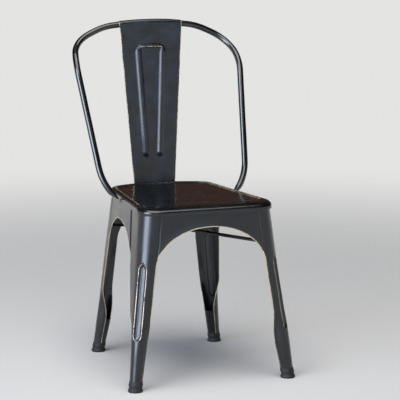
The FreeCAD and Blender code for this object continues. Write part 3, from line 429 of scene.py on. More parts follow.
def add_piece(bm, name, material, nodes, wall=None, rim=0.35 * MM):
    """Puts a piece in the scene in place of its plain solid, with its sheet's other side and edges."""
    piece = add_mesh(bm, name, material)
    piece.data.shade_smooth()
    if wall:
        having(piece.modifiers.new("Wall", "SOLIDIFY"), thickness=wall, offset=-1, use_even_offset=True,
               material_offset=1)
        piece.data.materials.append(worn_enamel("Black enamel, inside", wear_reach=3, sheen=0.34, seed=7.3))
    if rim:
        having(piece.modifiers.new("Rim", "BEVEL"), width=rim, segments=2, limit_method="ANGLE",
               angle_limit=math.radians(50), harden_normals=True)
    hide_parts(*nodes)
    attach(piece, "root")


def add_sheet(node, name, material, rows, middle, unevenness):
    """A piece of sheet from its rows, with the depth, size and seed of its dents."""
    bm = bmesh.new()
    skin(bm, rows)
    turn_outwards(bm, middle)
    dent(bm, *unevenness)
    add_piece(bm, name, material, [node], wall=sizes().wall)


# Finishes.
def put(tree, kind, inputs=None, **settings):
    """Adds a node. An input is a value, a node whose first output it takes, or a node and an output."""
    node = having(tree.nodes.new("ShaderNode" + kind), **settings)
    for name, value in (inputs or {}).items():
        if isinstance(value, bpy.types.Node):
            value = (value, 0)
        if isinstance(value, tuple) and isinstance(value[0], bpy.types.Node):
            tree.links.new(value[0].outputs[value[1]], node.inputs[name])
        else:
            node.inputs[name].default_value = value
    return node


def maths(tree, operation, *values):
    """A calculation with two or three values."""
    return put(tree, "Math", dict(enumerate(values)), operation=operation)


def speckle(tree, place, scale, detail=2, roughness=0.5):
    """Noise at a scale."""
    return put(tree, "TexNoise", {"Vector": place, "Scale": scale, "Detail": detail, "Roughness": roughness})


def spread(tree, value, low, high, at_low=0.0, at_high=1.0, soft=False):
    """A value spread evenly or softly between two levels."""
    return put(tree, "MapRange", {
        "Value": value, "From Min": low, "From Max": high, "To Min": at_low, "To Max": at_high},
        interpolation_type="SMOOTHSTEP" if soft else "LINEAR")


def mixed(tree, share, first, second):
    """The colour between two others."""
    return put(tree, "Mix", {0: share, 6: first, 7: second}, data_type="RGBA"), 2


def relief(tree, height, strength, distance, **others):
    """A bump, with its depth in millimetres."""
    return put(tree, "Bump", {"Height": height, "Strength": strength, "Distance": distance * MM, **others})


def ramp_between(tree, source, stops):
    """A colour ramp over a factor, from (position, colour) stops."""
    node = put(tree, "ValToRGB", {"Fac": source})
    elements = node.color_ramp.elements
    while len(elements) < len(stops):
        elements.new(0.5)
    for element, (position, colour) in zip(elements, stops):
        element.position = position
        element.color = colour
    return node


def on_object(tree):
    """Places in the object's own coordinates."""
    return put(tree, "TexCoord"), "Object"


def new_material(name, surface):
    """A material from a function that puts its shader in a node tree."""
    material = bpy.data.materials.get(name) or bpy.data.materials.new(name)
    material.use_nodes = True
    tree = material.node_tree
    tree.nodes.clear()
    put(tree, "OutputMaterial", {"Surface": surface(tree)})
    return material


def worn_enamel(name, wear_reach=0.5, sheen=0.3, seed=0.0, cloud_and_sheen_levels=(0.36, 0.72), peel_depth=0.1,
                lacquer=0.45, pale=None):
    """Black stove enamel over sheet steel, rubbed through on its edges, with paler clouds that are partly
    painted reflection.
    """
    f = finishes()

    def surface(tree):
        moved = put(tree, "Mapping", {"Vector": on_object(tree), "Location": (seed, seed * 2, 0)})
        # Clouds about 45 mm across, paler and bluer at random: partly real patina of the enamel, partly a
        # painted reflection.
        patina_and_sheen_clouds = speckle(tree, moved, 22, 4, 0.6)
        tone = ramp_between(tree, patina_and_sheen_clouds, (
            (cloud_and_sheen_levels[0], f.enamel_dark), (cloud_and_sheen_levels[1], pale or f.enamel_light_and_sheen)))
        # Upright streaks about 5 mm wide, left by the brush.
        streaks = speckle(tree, put(tree, "Mapping", {"Vector": moved, "Scale": (1, 1, 0.12)}), 190)
        streaked = mixed(tree, spread(tree, streaks, 0.4, 0.8, 0, 0.25), tone, f.enamel_light_and_sheen)
        # Near a rubbed edge the enamel is thin, hazy and blue-grey; beside the apron arches the same paler
        # blue-grey is a painted highlight.
        edge = put(tree, "Attribute", attribute_name="wear"), "Fac"
        haze_and_sheen = spread(tree, edge, 0.02, 0.5, 0, 0.6, soft=True)
        enamel = mixed(tree, haze_and_sheen, streaked, f.enamel_thin_and_sheen)
        # Wear: the piece says how near an edge lies, and chips 2 mm to 6 mm long break it up.
        both = maths(tree, "ADD", speckle(tree, moved, 240, 3, 0.6), speckle(tree, moved, 26))
        reach = maths(tree, "ADD", edge, maths(tree, "MULTIPLY_ADD", both, 0.75, -0.75))
        bare = spread(tree, reach, wear_reach, wear_reach + 0.16, soft=True)
        metal = ramp_between(tree, bare, ((0.0, f.bare_warm), (0.6, f.bare_pale)))
        gloss = spread(tree, patina_and_sheen_clouds, 0.3, 0.7, sheen, sheen + 0.14)
        # Faint orange peel, drawn at 7 mm so that it shows in the reflections.
        peel = relief(tree, speckle(tree, moved, 140, 3, 0.55), peel_depth, 0.25)
        step = relief(tree, bare, 0.5, 0.15, Normal=peel)
        step.invert = True
        # Half of what shows under the enamel is pale primer, so it is only partly metal.
        return put(tree, "BsdfPrincipled", {
            "Base Color": mixed(tree, bare, enamel, metal), "Metallic": maths(tree, "MULTIPLY", bare, 0.45),
            "Roughness": put(tree, "Mix", {0: bare, 2: gloss, 3: 0.48}), "Normal": step,
            "IOR": 1.47, "Coat Weight": lacquer, "Coat Roughness": 0.09, "Coat IOR": 1.5})

    return new_material(name, surface)


def moulded_rubber():
    """Moulded rubber: matt, with dust and a fine grain, drawn at 1.5 mm so that it shows."""
    def surface(tree):
        dust = speckle(tree, on_object(tree), 90, 4, 0.6)
        return put(tree, "BsdfPrincipled", {
            "Base Color": ramp_between(tree, dust, ((0.4, finishes().rubber), (0.85, linear("2b2926")))),
            "Roughness": spread(tree, dust, 0, 1, 0.55, 0.8), "IOR": 1.52,
            "Normal": relief(tree, speckle(tree, on_object(tree), 650), 0.3, 0.2)})

    return new_material("Moulded rubber", surface)


def dressed_weld():
    """Bare weld bead, dressed bright on its crests and brown in its hollows."""
    def surface(tree):
        scale = speckle(tree, on_object(tree), 420, 3, 0.6)
        return put(tree, "BsdfPrincipled", {
            "Base Color": ramp_between(tree, scale, ((0.35, linear("6f5646")), (0.6, finishes().weld))),
            "Roughness": spread(tree, scale, 0, 1, 0.25, 0.5), "Metallic": 1.0,
            "Normal": relief(tree, scale, 0.4, 0.3)})

    return new_material("Dressed weld", surface)


# Legs.
# Distances in millimetres from a leg's crown, close together on the flank of its groove.
GROOVE_STATIONS = (0, 3, 5.5, 6.8, 7.9, 9, 10, 10.9, 11.8, 12.8, 14.6)

# From, to and step in millimetres: close together where the groove ends and the tube opens.
LEG_LEVELS = ((8, 88, 10), (88, 118, 5), (118, 138, 1.5), (138, 276, 6), (276, 312, 1.8), (312, 430, 5))


def leg_heights():
    """Levels of the rows of a leg."""
    levels = []
    for low, high, step in LEG_LEVELS:
        count = round((high - low) / step)
        levels += [(low + (high - low) * k / count) * MM for k in range(count)]
    return levels + [LEG_LEVELS[-1][1] * MM]


def leg_places(part):
    """Rear or front, side and node of a part that each leg has."""
    return [(rear, side, "_".join(("rear" if rear else "front", name, part)))
            for rear in (False, True) for side, name in ((1, "right"), (-1, "left"))]


def leg_axis(height, rear, side):
    """Middle of a leg's tube and of its rounded corner."""
    corner = leg_corner(height, rear)
    inset = corner_radius(height)
    return Vector(((corner.x - inset) * side, corner.y + inset * (-1 if rear else 1), height))


def groove_press(along, height):
    """How deep the groove is pressed, from 0 to 1, and how worn its edge is."""
    s = sizes()
    half = s.groove_half
    round_end = s.groove_low + half
    point_start = s.groove_high - 21 * MM
    if height < s.groove_low:
        limit = height - s.groove_low
    elif height < round_end:
        limit = math.sqrt(half ** 2 - (round_end - height) ** 2)
    elif height > s.groove_high:
        limit = s.groove_high - height
    elif height > point_start:
        limit = half * (1 - ((height - point_start) / (s.groove_high - point_start)) ** 2.2)
    else:
        limit = half
    inside = limit - abs(along)
    flank = 5 * MM
    return smooth(inside / flank), rubbed(inside - 0.2 * MM, 0.82, 1.2 * MM)


def flange_points(start, direction, normal, reach, curl, strength):
    """Points of a flange from its free edge to where the corner starts."""
    points = []
    for from_edge in steps_from_edge(reach, 5)[:-1]:
        along = reach - from_edge
        if curl < 1e-4:
            place = start + direction * along
        else:
            radius = reach / curl
            turn = along / radius
            place = start + normal * radius + (direction * math.sin(turn) - normal * math.cos(turn)) * radius
        points.append((place, -normal, 1.0, rubbed(from_edge, strength)))
    return points


def leg_section(height, rear):
    """Smooth outline of a right leg at a height: place, outward direction, distance from the crown, wear."""
    s = sizes()
    radius = corner_radius(height)
    corner = leg_corner(height, rear)
    along = side_lean(height) * (-1 if rear else 1)
    across = Vector((-1, 0, 0))
    across_normal = Vector((0, -1 if rear else 1, 0))
    side_normal = Vector((-abs(along.y), along.x * (1 if along.y > 0 else -1), 0))
    curl = math.pi / 2 if height <= s.neck + 1e-6 else 0.0
    back_curve = 0.0
    if rear and height >= s.arch_base - 1e-6:
        centre = bow_corner(height, radius)
        middle, curve = bow(height)
        spoke = (centre - middle).normalized()
        across = Vector((-spoke.y, spoke.x, 0))
        across_normal = -spoke
        back_curve = 1 / curve
    else:
        centre = rounded_corner(corner, along, across, radius)
    across_reach, along_reach = leg_reach(height, rear, corner)
    side_tangent = centre - side_normal * radius
    across_tangent = centre - across_normal * radius
    stretch = curl / math.sin(curl) if curl else 1.0
    side_free = (along_reach - (corner - side_tangent).length) * stretch
    across_free = (across_reach - (radius if back_curve else (corner - across_tangent).length)) * stretch
    across_curl = curl or across_free * back_curve
    first = flange_points(across_tangent, across, across_normal, across_free, across_curl, 0.9)
    last = flange_points(side_tangent, along, side_normal, side_free, curl, 0.8)
    crown = -(across_normal + side_normal).normalized()
    towards_side = (-side_normal - crown * crown.dot(-side_normal)).normalized()
    half_arc = radius * crown.angle(-side_normal)
    squeeze = min(1.0, half_arc / (19 * MM))
    stations = [step * MM * squeeze for step in GROOVE_STATIONS]
    stations += [stations[-1] + (half_arc - stations[-1]) * share for share in (0.34, 0.67, 1.0)]
    rounding = []
    for station in [-step for step in reversed(stations[1:])] + stations:
        turn = station / radius
        outward = crown * math.cos(turn) + towards_side * math.sin(turn)
        rounding.append((centre + outward * radius, outward, abs(station), 0.0))
    return first + rounding + list(reversed(last))


def between(low, high, share):
    """An outline between two others."""
    return [(a[0].lerp(b[0], share), a[1].lerp(b[1], share), a[2] + (b[2] - a[2]) * share,
             a[3] + (b[3] - a[3]) * share) for a, b in zip(low, high)]


def leg_rows(rear, side):
    """Rows of a leg from its foot to the seat, straight between the marked levels of its channel."""
    s = sizes()
    marks = (s.leg_end, s.neck, s.opened, s.arch_base)
    marked = [leg_section(mark, rear) for mark in marks]
    opening = 92 * MM
    rows = []
    for height in leg_heights():
        if height < s.arch_base:
            # A closed tube below and an open channel above, each straight, with a soft change between.
            tube = between(marked[0], marked[1], (height - marks[0]) / (marks[1] - marks[0]))
            channel = between(marked[2], marked[3], (height - marks[2]) / (marks[3] - marks[2]))
            section = between(tube, channel, smooth((height - s.neck) / opening))
        else:
            section = leg_section(height, rear)
        row = []
        for place, outward, station, worn in section:
            pressed, groove_worn = groove_press(station, height)
            place = place - outward.normalized() * (pressed * s.groove_depth)
            row.append((Vector((place.x * side, place.y, place.z)), max(worn, groove_worn)))
        rows.append(row)
    return rows


def leg_reach(height, rear, corner):
    """Reach of a leg's flanges from the sharp corner, across the front or back and along the side."""
    across_base, along_base = REAR_FLANGES if rear else FRONT_FLANGES
    across_top = 64 * MM if rear else corner.x - front_seam(height) + LAP
    across = flange_reach(height, across_base, across_top)
    along = flange_reach(height, along_base, side_seam(height, rear) + LAP)
    if height >= sizes().arch_base:
        stand = (rear_arch() if rear else front_arch()).edge(height, True)
        if stand is not None and rear:
            radius, curve, angle = rear_rounding(height)
            across = min(across, radius + (angle - math.asin(stand / curve)) * curve)
        elif stand is not None:
            across = min(across, corner.x - stand)
        stand = side_arch().edge(height, rear)
        if stand is not None:
            along = min(along, abs(stand - corner.y) / side_direction(height).y)
    return across, along


def flange_reach(height, at_base, above):
    """Reach of a flange: the whole tube, then the channel, then the lap under an apron."""
    s = sizes()
    if height <= s.neck:
        return 2 * corner_radius(height)
    if height > s.shoulder:
        return above
    levels = (s.neck, s.opened, s.arch_base, s.shoulder)
    reaches = (*CHANNEL_FLANGES, at_base, above)
    k = next(k for k in range(1, 4) if height <= levels[k])
    return blend(height, levels[k - 1], levels[k], reaches[k - 1], reaches[k])


class CHAIR_OT_legs(bpy.types.Operator):
    """Four tapered channel legs with a pressed groove down each corner"""

    bl_idname = "chair.legs"
    bl_label = "Legs"

    def execute(self, context):
        enamel = worn_enamel("Worn black enamel", sheen=0.25)
        for rear, side, node in leg_places("leg"):
            add_sheet(node, node + "_sheet", enamel, leg_rows(rear, side),
                      lambda point: leg_axis(point.z, rear, side), (0.25 * MM, 45 * MM, side + 3 * rear))
        return {"FINISHED"}


# Aprons.
def apron_rows(arch, angles, top_place, to_point, seam_strength):
    """Rows of an apron between its arch and its straight top."""
    s = sizes()
    tops = [top_place(angle) for angle in angles]
    feet = [arch.at(angle) for angle in angles]
    all_steps = [steps_from_edge(s.leg_top - foot[1], 9) for foot in feet]
    rows = []
    for k in range(len(all_steps[0])):
        row = []
        for foot, top, steps in zip(feet, tops, all_steps):
            share = steps[k] / steps[-1]
            place = foot[0] + (top - foot[0]) * share
            height = foot[1] + steps[k]
            edge = arch.distance(place, height)
            from_seam = min(abs(tops[end] + (feet[end][0] - tops[end]) * (1 - share) - place)
                            for end in (0, -1))
            # A painted highlight beside the arch, mostly to the left of its middle, carried by the wear mask,
            # which draws the enamel paler there.
            painted_highlight = rubbed(edge, 0.34, 17 * MM) * min(1.0, max(0.0, 0.5 - place / 0.12))
            worn = max(rubbed(edge), rubbed(from_seam, seam_strength), painted_highlight)
            # A line is pressed inwards beside each seam.
            point = to_point(place, height)
            on_side = abs(point.x) > 0.11 and abs(point.y) < 0.19
            on_end = abs(point.y) > 0.17
            inward = Vector((-point.x if on_side else 0.0, -point.y if on_end else 0.0, 0))
            if inward.length:
                point += inward.normalized() * rubbed(from_seam - 2.6 * MM, 1.1 * MM, 1.3 * MM)
            row.append((point, worn))
        rows.append(row)
    return rows


def arch_angles(first, last, count):
    """Angles along an arch, closer together at both ends."""
    return [first + (last - first) * (1 - math.cos(math.pi * k / count)) / 2 for k in range(count + 1)]


class CHAIR_OT_aprons(bpy.types.Operator):
    """Four aprons between the legs, each open in an arch"""

    bl_idname = "chair.aprons"
    bl_label = "Aprons"

    def execute(self, context):
        s = sizes()
        enamel = worn_enamel("Worn black enamel", sheen=0.25)
        outside = s.seam_gap + s.wall
        half_top = front_seam(s.leg_top)

        def front_point(place, height):
            wave = 0.5 * MM * math.sin(height / (9 * MM)) * (abs(place) / half_top) ** 12
            return Vector((place + wave, leg_corner(height, False).y - outside, height))

        def back_point(place, height):
            middle, curve = bow(height)
            turn = math.asin(place / curve)
            return middle + Vector((math.sin(turn), math.cos(turn), 0)) * (curve + 2 * s.seam_gap + s.wall)

        def rear_seam(height):
            return rear_reach_x(height, 52 * MM)

        def add_across(node, arch, seam, count, to_point, seam_strength, unevenness):
            start = arch.seam_angle(seam, True)
            scale = seam(s.leg_top) / math.cos(start)
            rows = apron_rows(arch, arch_angles(start, math.pi - start, count),
                              lambda angle: scale * math.cos(angle), to_point, seam_strength)
            add_sheet(node, node + "_sheet", enamel, rows, lambda point: Vector((point.x, 0, point.z)),
                      unevenness)

        add_across("front_apron", front_arch(), front_seam, 64, front_point, 0.2, (0.45 * MM, 55 * MM, 11))
        self.add_sides(enamel, outside)
        add_across("rear_apron", rear_arch(), rear_seam, 48, back_point, 0.3, (0.35 * MM, 50 * MM, 17))
        return {"FINISHED"}

    def add_sides(self, enamel, outside):
        s = sizes()
        arch = side_arch()

        def rear_end(height):
            whole = (leg_corner(height, True) - leg_corner(height, False)).length
            return side_point(height, whole - side_seam(height, True), 0).y

        def front_end(height):
            return side_point(height, side_seam(height, False), 0).y

        first = arch.seam_angle(rear_end, True)
        last = arch.seam_angle(front_end, False)
        top_rear, top_front = rear_end(s.leg_top), front_end(s.leg_top)
        foot_rear, foot_front = arch.at(first)[0], arch.at(last)[0]

        def side_top(angle):
            share = (arch.at(angle)[0] - foot_front) / (foot_rear - foot_front)
            return top_front + (top_rear - top_front) * share

        for side, name in ((1, "right_apron"), (-1, "left_apron")):
            def on_side(place, height):
                corner = leg_corner(height, False)
                point = side_point(height, (place - corner.y) / side_direction(height).y, outside)
                return Vector((point.x * side, point.y, height))

            add_sheet(name, name + "_sheet", enamel,
                      apron_rows(arch, arch_angles(first, last, 56), side_top, on_side, 0.3),
                      lambda point: Vector((0, point.y, point.z)), (0.4 * MM, 50 * MM, 12 + side))


# Seat.
def seat_side_x(y, inset):
    """Half width of the seat outline at a place along the chair."""
    s = sizes()
    low = s.seat_height - s.skirt
    stack = s.seam_gap + s.wall + FORMED_GAP + s.wall - inset
    whole = (leg_corner(s.arch_base, True) - leg_corner(s.arch_base, False)).length
    front = side_point(low, 0, stack)
    rear = side_point(low, whole, stack)
    return blend(y, front.y, rear.y, front.x, rear.x)


def arc_points(centre, radius, start, turn, count):
    """Points along an arc in plan."""
    angles = [start + turn * k / count for k in range(count + 1)]
    return [centre + Vector((math.cos(angle), math.sin(angle), 0)) * radius for angle in angles]


def seat_outline(side_inset, front_inset, rear_inset, front_radius, rear_radius):
    """Half of the seat outline in plan, from the middle of the front to the middle of the back."""
    s = sizes()
    low = s.seat_height - s.skirt
    front_y = leg_corner(low, False).y - s.seam_gap - s.wall - 5 * MM + front_inset
    middle, curve = bow(low)
    middle = Vector((0, middle.y, 0))
    curve += BACK_LIP + 2 * s.seam_gap - rear_inset
    lower = Vector((seat_side_x(-0.1, side_inset), -0.1, 0))
    upper = Vector((seat_side_x(0.1, side_inset), 0.1, 0))
    run = (upper - lower).normalized()
    inward = Vector((-run.y, run.x, 0))
    across = Vector((-1, 0, 0))
    corner = Vector((seat_side_x(front_y, side_inset), front_y, 0))
    front_centre = rounded_corner(corner, across, run, front_radius)
    foot = lower + inward * rear_radius
    closest = foot + run * (middle - foot).dot(run)
    rear_centre = closest + run * math.sqrt((curve - rear_radius) ** 2 - (closest - middle).length ** 2)
    side_angle = math.atan2(-inward.y, -inward.x)
    rear_angle = math.atan2((rear_centre - middle).y, (rear_centre - middle).x)
    front_arc = arc_points(front_centre, front_radius, -math.pi / 2, math.pi / 2 + side_angle, 10)
    rear_arc = arc_points(rear_centre, rear_radius, side_angle, rear_angle - side_angle, 10)
    bow_arc = arc_points(middle, curve, rear_angle, math.pi / 2 - rear_angle, 12)
    points = [Vector((0, front_y, 0)).lerp(front_arc[0], k / 10) for k in range(10)]
    points += front_arc
    points += [front_arc[-1].lerp(rear_arc[0], k / 16) for k in range(1, 16)]
    points += rear_arc + bow_arc[1:]
    return points


class CHAIR_OT_seat(bpy.types.Operator):
    """Pressed seat with a rolled edge and a sunk panel"""

    bl_idname = "chair.seat"
    bl_label = "Seat"

    def execute(self, context):
        s = sizes()
        top = s.seat_height
        low = top - s.skirt

        def outline(inset, front_inset):
            return seat_outline(inset, front_inset, inset, FRONT_CORNER - inset, REAR_CORNER - inset)

        def panel(offset):
            return seat_outline(PANEL_SIDE - offset, PANEL_FRONT - offset, PANEL_BACK - offset,
                                PANEL_CORNER + offset, PANEL_CORNER + offset)

        def level(points, height, worn=0.0, share=None):
            """A ring at one height, worn evenly or by a share of its own at each point."""
            return [(Vector((p.x, p.y, height)), worn * share(p) if share else worn) for p in points]

        def at_back(point):
            return point.y > 0.12

        def off_middle(point):
            return min(1.0, max(0.1, (abs(point.x) - 0.09) / 0.03))

        def crimp(x):
            """The lower edge is crimped to the aprons, so it waves a little."""
            return 0.5 * MM * math.sin(x / (5.2 * MM)) * math.sin(x / (13 * MM) + 1)

        rings = [[(Vector((p.x, p.y, low + crimp(p.x))), 0.36) for p in outline(0.25 * MM, 0.25 * MM)]]
        for up, worn in ((0.9, 0.3), (2, 0.15), (5, 0.0)):
            rings.append(level(outline(0, 0), low + up * MM, worn))

        # The rolled edge, wider at the front, with its back rubbed on the ninth of twelve steps.
        rise = min(12 * MM, s.skirt - 6 * MM)
        for k in range(13):
            turn = math.pi / 2 * k / 12
            inset = s.roll * (1 - math.cos(turn))
            rings.append(level(outline(inset, 2.6 * inset), top - rise * (1 - math.sin(turn)),
                               0.55 if k == 9 else 0.0, at_back))
        outer = outline(s.roll, 2.6 * s.roll)
        lip = (3.4, 0.0, 0.2)
        for k in range(1, 7):
            share = k / 7
            points = [a.lerp(b, share) for a, b in zip(outer, panel(lip[0] * MM))]
            rings.append(level(points, top + 0.25 * MM * math.sin(math.pi * share)))

        # The lip around the sunk panel is rubbed twice, except in the middle of its front and back.
        for offset, drop, strength in (
                lip, (2.4, 0.05, 0.75), (1.6, 0.3, 0.85), (0.8, 0.9, 0.35), (0.0, 1.6, 0.1),
                (-0.8, 2.2, 0.45), (-1.7, 2.45, 0.8), (-2.8, 2.5, 0.4), (-5, 2.5, 0.0)):
            rings.append(level(panel(offset * MM), top - drop * MM, strength, off_middle))
        floor_ring = panel(-8 * MM)
        centre = Vector((0, -0.01, 0))
        for k in range(13):
            rings.append(level([p.lerp(centre, k / 12) for p in floor_ring], top - s.panel_depth))

        # The front of the rim falls away in a long curve.
        front = outline(0, 0)[0].y
        fall_from = panel(0)[0].y
        fixed = low + 3 * MM
        for place, worn in (point for row in rings for point in row):
            share = min(1.0, max(0.0, (fall_from - place.y) / (fall_from - front)))
            fall = s.front_fall * (1 - math.sqrt(1 - share * share))
            place.z -= fall * min(1.0, max(0.0, (place.z - fixed) / (top - fixed)))
        bm = bmesh.new()
        skin(bm, rings)
        bmesh.ops.remove_doubles(bm, verts=bm.verts, dist=1e-6)
        bmesh.ops.mirror(bm, geom=bm.verts[:] + bm.edges[:] + bm.faces[:], axis="X", merge_dist=1e-5)
        turn_outwards(bm, lambda point: Vector((0, 0, point.z - 0.05)))
        dent(bm, 0.5 * MM, 70 * MM, 21)
        enamel = worn_enamel("Worn black enamel, seat", sheen=0.2, seed=1.3, cloud_and_sheen_levels=(0.5, 0.95),
                             peel_depth=0.0)
        add_piece(bm, "seat_pressing", enamel, ["seat_pan"], wall=s.wall)
        return {"FINISHED"}


# Back.
def splat_frame():
    """Lower point, upward and forward directions of the splat, and the middle of its arched top."""
    s = sizes()
    low = s.seat_height - s.skirt
    middle, curve = bow(low)
    pivot = Vector((0, middle.y + curve + BACK_LIP + 2 * s.seam_gap + FORMED_GAP, low))
    top = Vector((0, s.hoop_top_y, s.hoop_height))
    reach = s.tube + FORMED_GAP + s.wall
    base = top - pivot
    lean = math.atan2(base.y, base.z) - math.asin(reach / math.hypot(base.y, base.z))
    up = Vector((0, math.sin(lean), math.cos(lean)))
    front = Vector((0, -math.cos(lean), math.sin(lean)))
    foot = pivot - up * ((low - s.splat_low) / up.z)
    return foot, up, front, top - up * s.hoop_top_radius, reach


# Corners of the rib in millimetres: across the splat and above the floor.
RIB_CORNERS = ((-21.5, 512), (-36.5, 786), (31, 786), (17, 512))


def rib_line(foot, up):
    """Middle line of the rib as points across and up the splat."""
    corners = [Vector((x * MM, (height * MM - foot.z) / up.z, 0)) for x, height in RIB_CORNERS]
    bend = 10 * MM
    line = []
    points = [corners[0]]
    for before, here, after in zip(corners, corners[1:], corners[2:]):
        a = here + (before - here).normalized() * bend
        b = here + (after - here).normalized() * bend
        points.append(a)
        points += [a.lerp(here, t).lerp(here.lerp(b, t), t) for t in (0.25, 0.5, 0.75)]
        points.append(b)
    points.append(corners[-1])
    for a, b in zip(points, points[1:]):
        count = max(1, round((b - a).length / (1.2 * MM)))
        line += [a.lerp(b, k / count) for k in range(count)]
    return line + [points[-1]]


class CHAIR_OT_splat(bpy.types.Operator):
    """Tapered back splat with a pressed rib, hooked over the hoop"""

    bl_idname = "chair.splat"
    bl_label = "Back splat"

    def execute(self, context):
        s = sizes()
        foot, up, front, arch_centre, reach = splat_frame()
        half_turn = math.asin(s.splat_top_half / s.hoop_top_radius)
        hook_turn = math.radians(235)
        line = rib_line(foot, up)
        tree = KDTree(len(line))
        for index, point in enumerate(line):
            tree.insert(point, index)
        tree.balance()
        crown_from = max(point.y for point in line) - 12 * MM

        def rib(place, along):
            """Lift and wear of the rib, which is narrower, lower and rubbed at its crown; the pale rubbed
            crown is partly a painted highlight.
            """
            point, _, distance = tree.find(Vector((place, along, 0)))
            at_crown = min(1.0, max(0.0, (point.y - crown_from) / (9 * MM)))
            share = distance / ((12 + (6.5 - 12) * at_crown) * MM)
            ridge_wear_and_highlight = rubbed(distance, 0.72 * at_crown, 2 * MM)
            if share >= 1:
                return 0.0, ridge_wear_and_highlight
            return s.rib_rise * (0.5 + 0.5 * math.cos(math.pi * share)) * (1 - 0.4 * at_crown), ridge_wear_and_highlight

        def on_arch(turn, out, forward):
            direction = Vector((math.sin(turn), 0, 0)) + up * math.cos(turn)
            return arch_centre + direction * (s.hoop_top_radius + out) + front * forward

        # Columns across and stations up the sheet, both fine beside its edges.
        edge_shares = [0.0, 0.004, 0.009, 0.016, 0.028]
        shares = edge_shares + [0.05 + 0.9 * k / 66 for k in range(67)]
        shares += [1 - share for share in reversed(edge_shares)]
        columns = [2 * share - 1 for share in shares]
        height = (on_arch(0, 0, reach) - foot).dot(up)
        stations = [step * MM / height for step in (0, 0.8, 1.8, 3.5)]
        stations += [stations[3] + (1 - stations[3]) * k / 150 for k in range(1, 151)]
        rows = []
        for station in stations:
            half = s.splat_low_half + (s.splat_top_half - s.splat_low_half) * station
            row = []
            for column in columns:
                base = foot + Vector((column * s.splat_low_half, 0, 0))
                place = base.lerp(on_arch(column * half_turn, 0, reach), station)
                lift, ridge_wear_and_highlight = rib(place.x, (place - foot).dot(up))
                from_edge = (1 - abs(column)) * half
                worn = max(rubbed(from_edge, 0.7), rubbed(station * height, 0.7), ridge_wear_and_highlight)
                row.append((place + front * lift, worn))
            rows.append(row)
        for k in range(1, 25):
            turn = hook_turn * k / 24
            out, forward = math.sin(turn) * reach, math.cos(turn) * reach
            # A pale line rubbed along the top of the hook: partly wear, partly a painted highlight.
            crest_wear_and_highlight = rubbed(turn - math.radians(78), 0.86, 0.2)
            end = rubbed((hook_turn - turn) * reach, 0.8)
            rows.append([(on_arch(column * half_turn, out, forward),
                          max(rubbed((1 - abs(column)) * s.splat_top_half, 0.7), end, crest_wear_and_highlight))
                         for column in columns])
        tube = Vector((0, s.hoop_top_y, s.hoop_height))

        def middle(point):
            """The tube's middle inside the hook, and just behind the sheet below it."""
            if point.z > tube.z - 12 * MM:
                return Vector((point.x, tube.y, tube.z))
            return point - front * 0.01

        # The splat's clouds run up to a paler blue-grey, partly a painted reflection.
        enamel = worn_enamel("Worn black enamel, back", sheen=0.24, seed=2.1, cloud_and_sheen_levels=(0.38, 0.74),
                             peel_depth=0.05, pale=linear("252f3c"))
        add_sheet("back_splat", "back_splat_sheet", enamel, rows, middle, (0.4 * MM, 60 * MM, 31))
        return {"FINISHED"}


def rounded_path(points, radii, step):
    """Places along straight runs joined by tangent arcs, an even step apart."""
    path = [points[0]]

    def run_to(end):
        start = path[-1]
        count = max(1, round((end - start).length / step))
        path.extend(start.lerp(end, k / count) for k in range(1, count + 1))

    for before, here, after, radius in zip(points, points[1:], points[2:], radii):
        back = (before - here).normalized()
        ahead = (after - here).normalized()
        turn = math.pi - back.angle(ahead)
        tangent = radius * math.tan(turn / 2)
        centre = here + (back + ahead).normalized() * math.hypot(radius, tangent)
        start = here + back * tangent - centre
        end = here + ahead * tangent - centre
        run_to(centre + start)
        count = max(3, round(radius * turn / step))
        for k in range(1, count + 1):
            share = k / count
            path.append(centre + (start * math.sin((1 - share) * turn) + end * math.sin(share * turn))
                        / math.sin(turn))
    run_to(points[-1])
    return path


def hoop_points():
    """Right half of the hoop: flattened end, elbow, side, shoulder and the peak of its arched top."""
    s = sizes()
    up = splat_frame()[1]
    top = Vector((0, s.hoop_top_y, s.hoop_height))
    slope = math.asin(88 * MM / s.hoop_top_radius)
    peak = top + up * (s.hoop_top_radius / math.cos(slope) - s.hoop_top_radius)
    shoulder = Vector((s.hoop_half - 96 * MM, 0, 0))
    drop = up * (shoulder.x * math.tan(slope))
    low = s.seat_height - s.skirt
    end_run = side_direction(low)
    outward = Vector((end_run.y, -end_run.x, 0))
    side = Vector((seat_side_x(25 * MM, 0), 25 * MM, s.seat_height - 14 * MM))
    end = side + outward * (FORMED_GAP + FLAT_END[1])
    half = s.hoop_half
    # Where the elbow, the side, the shoulder and the arch would meet, below and in front of the top.
    points = [
        end, Vector((half - 30 * MM, top.y - 197 * MM, top.z - 390 * MM)),
        Vector((half, top.y - 75 * MM, top.z - 93 * MM)),
        Vector((half - 16 * MM, top.y - 11 * MM, top.z - 44 * MM)),
        peak + shoulder - drop, peak, peak - shoulder - drop]
    return points, [138 * MM, 115 * MM, 80 * MM, 155 * MM, s.hoop_top_radius], end_run, outward


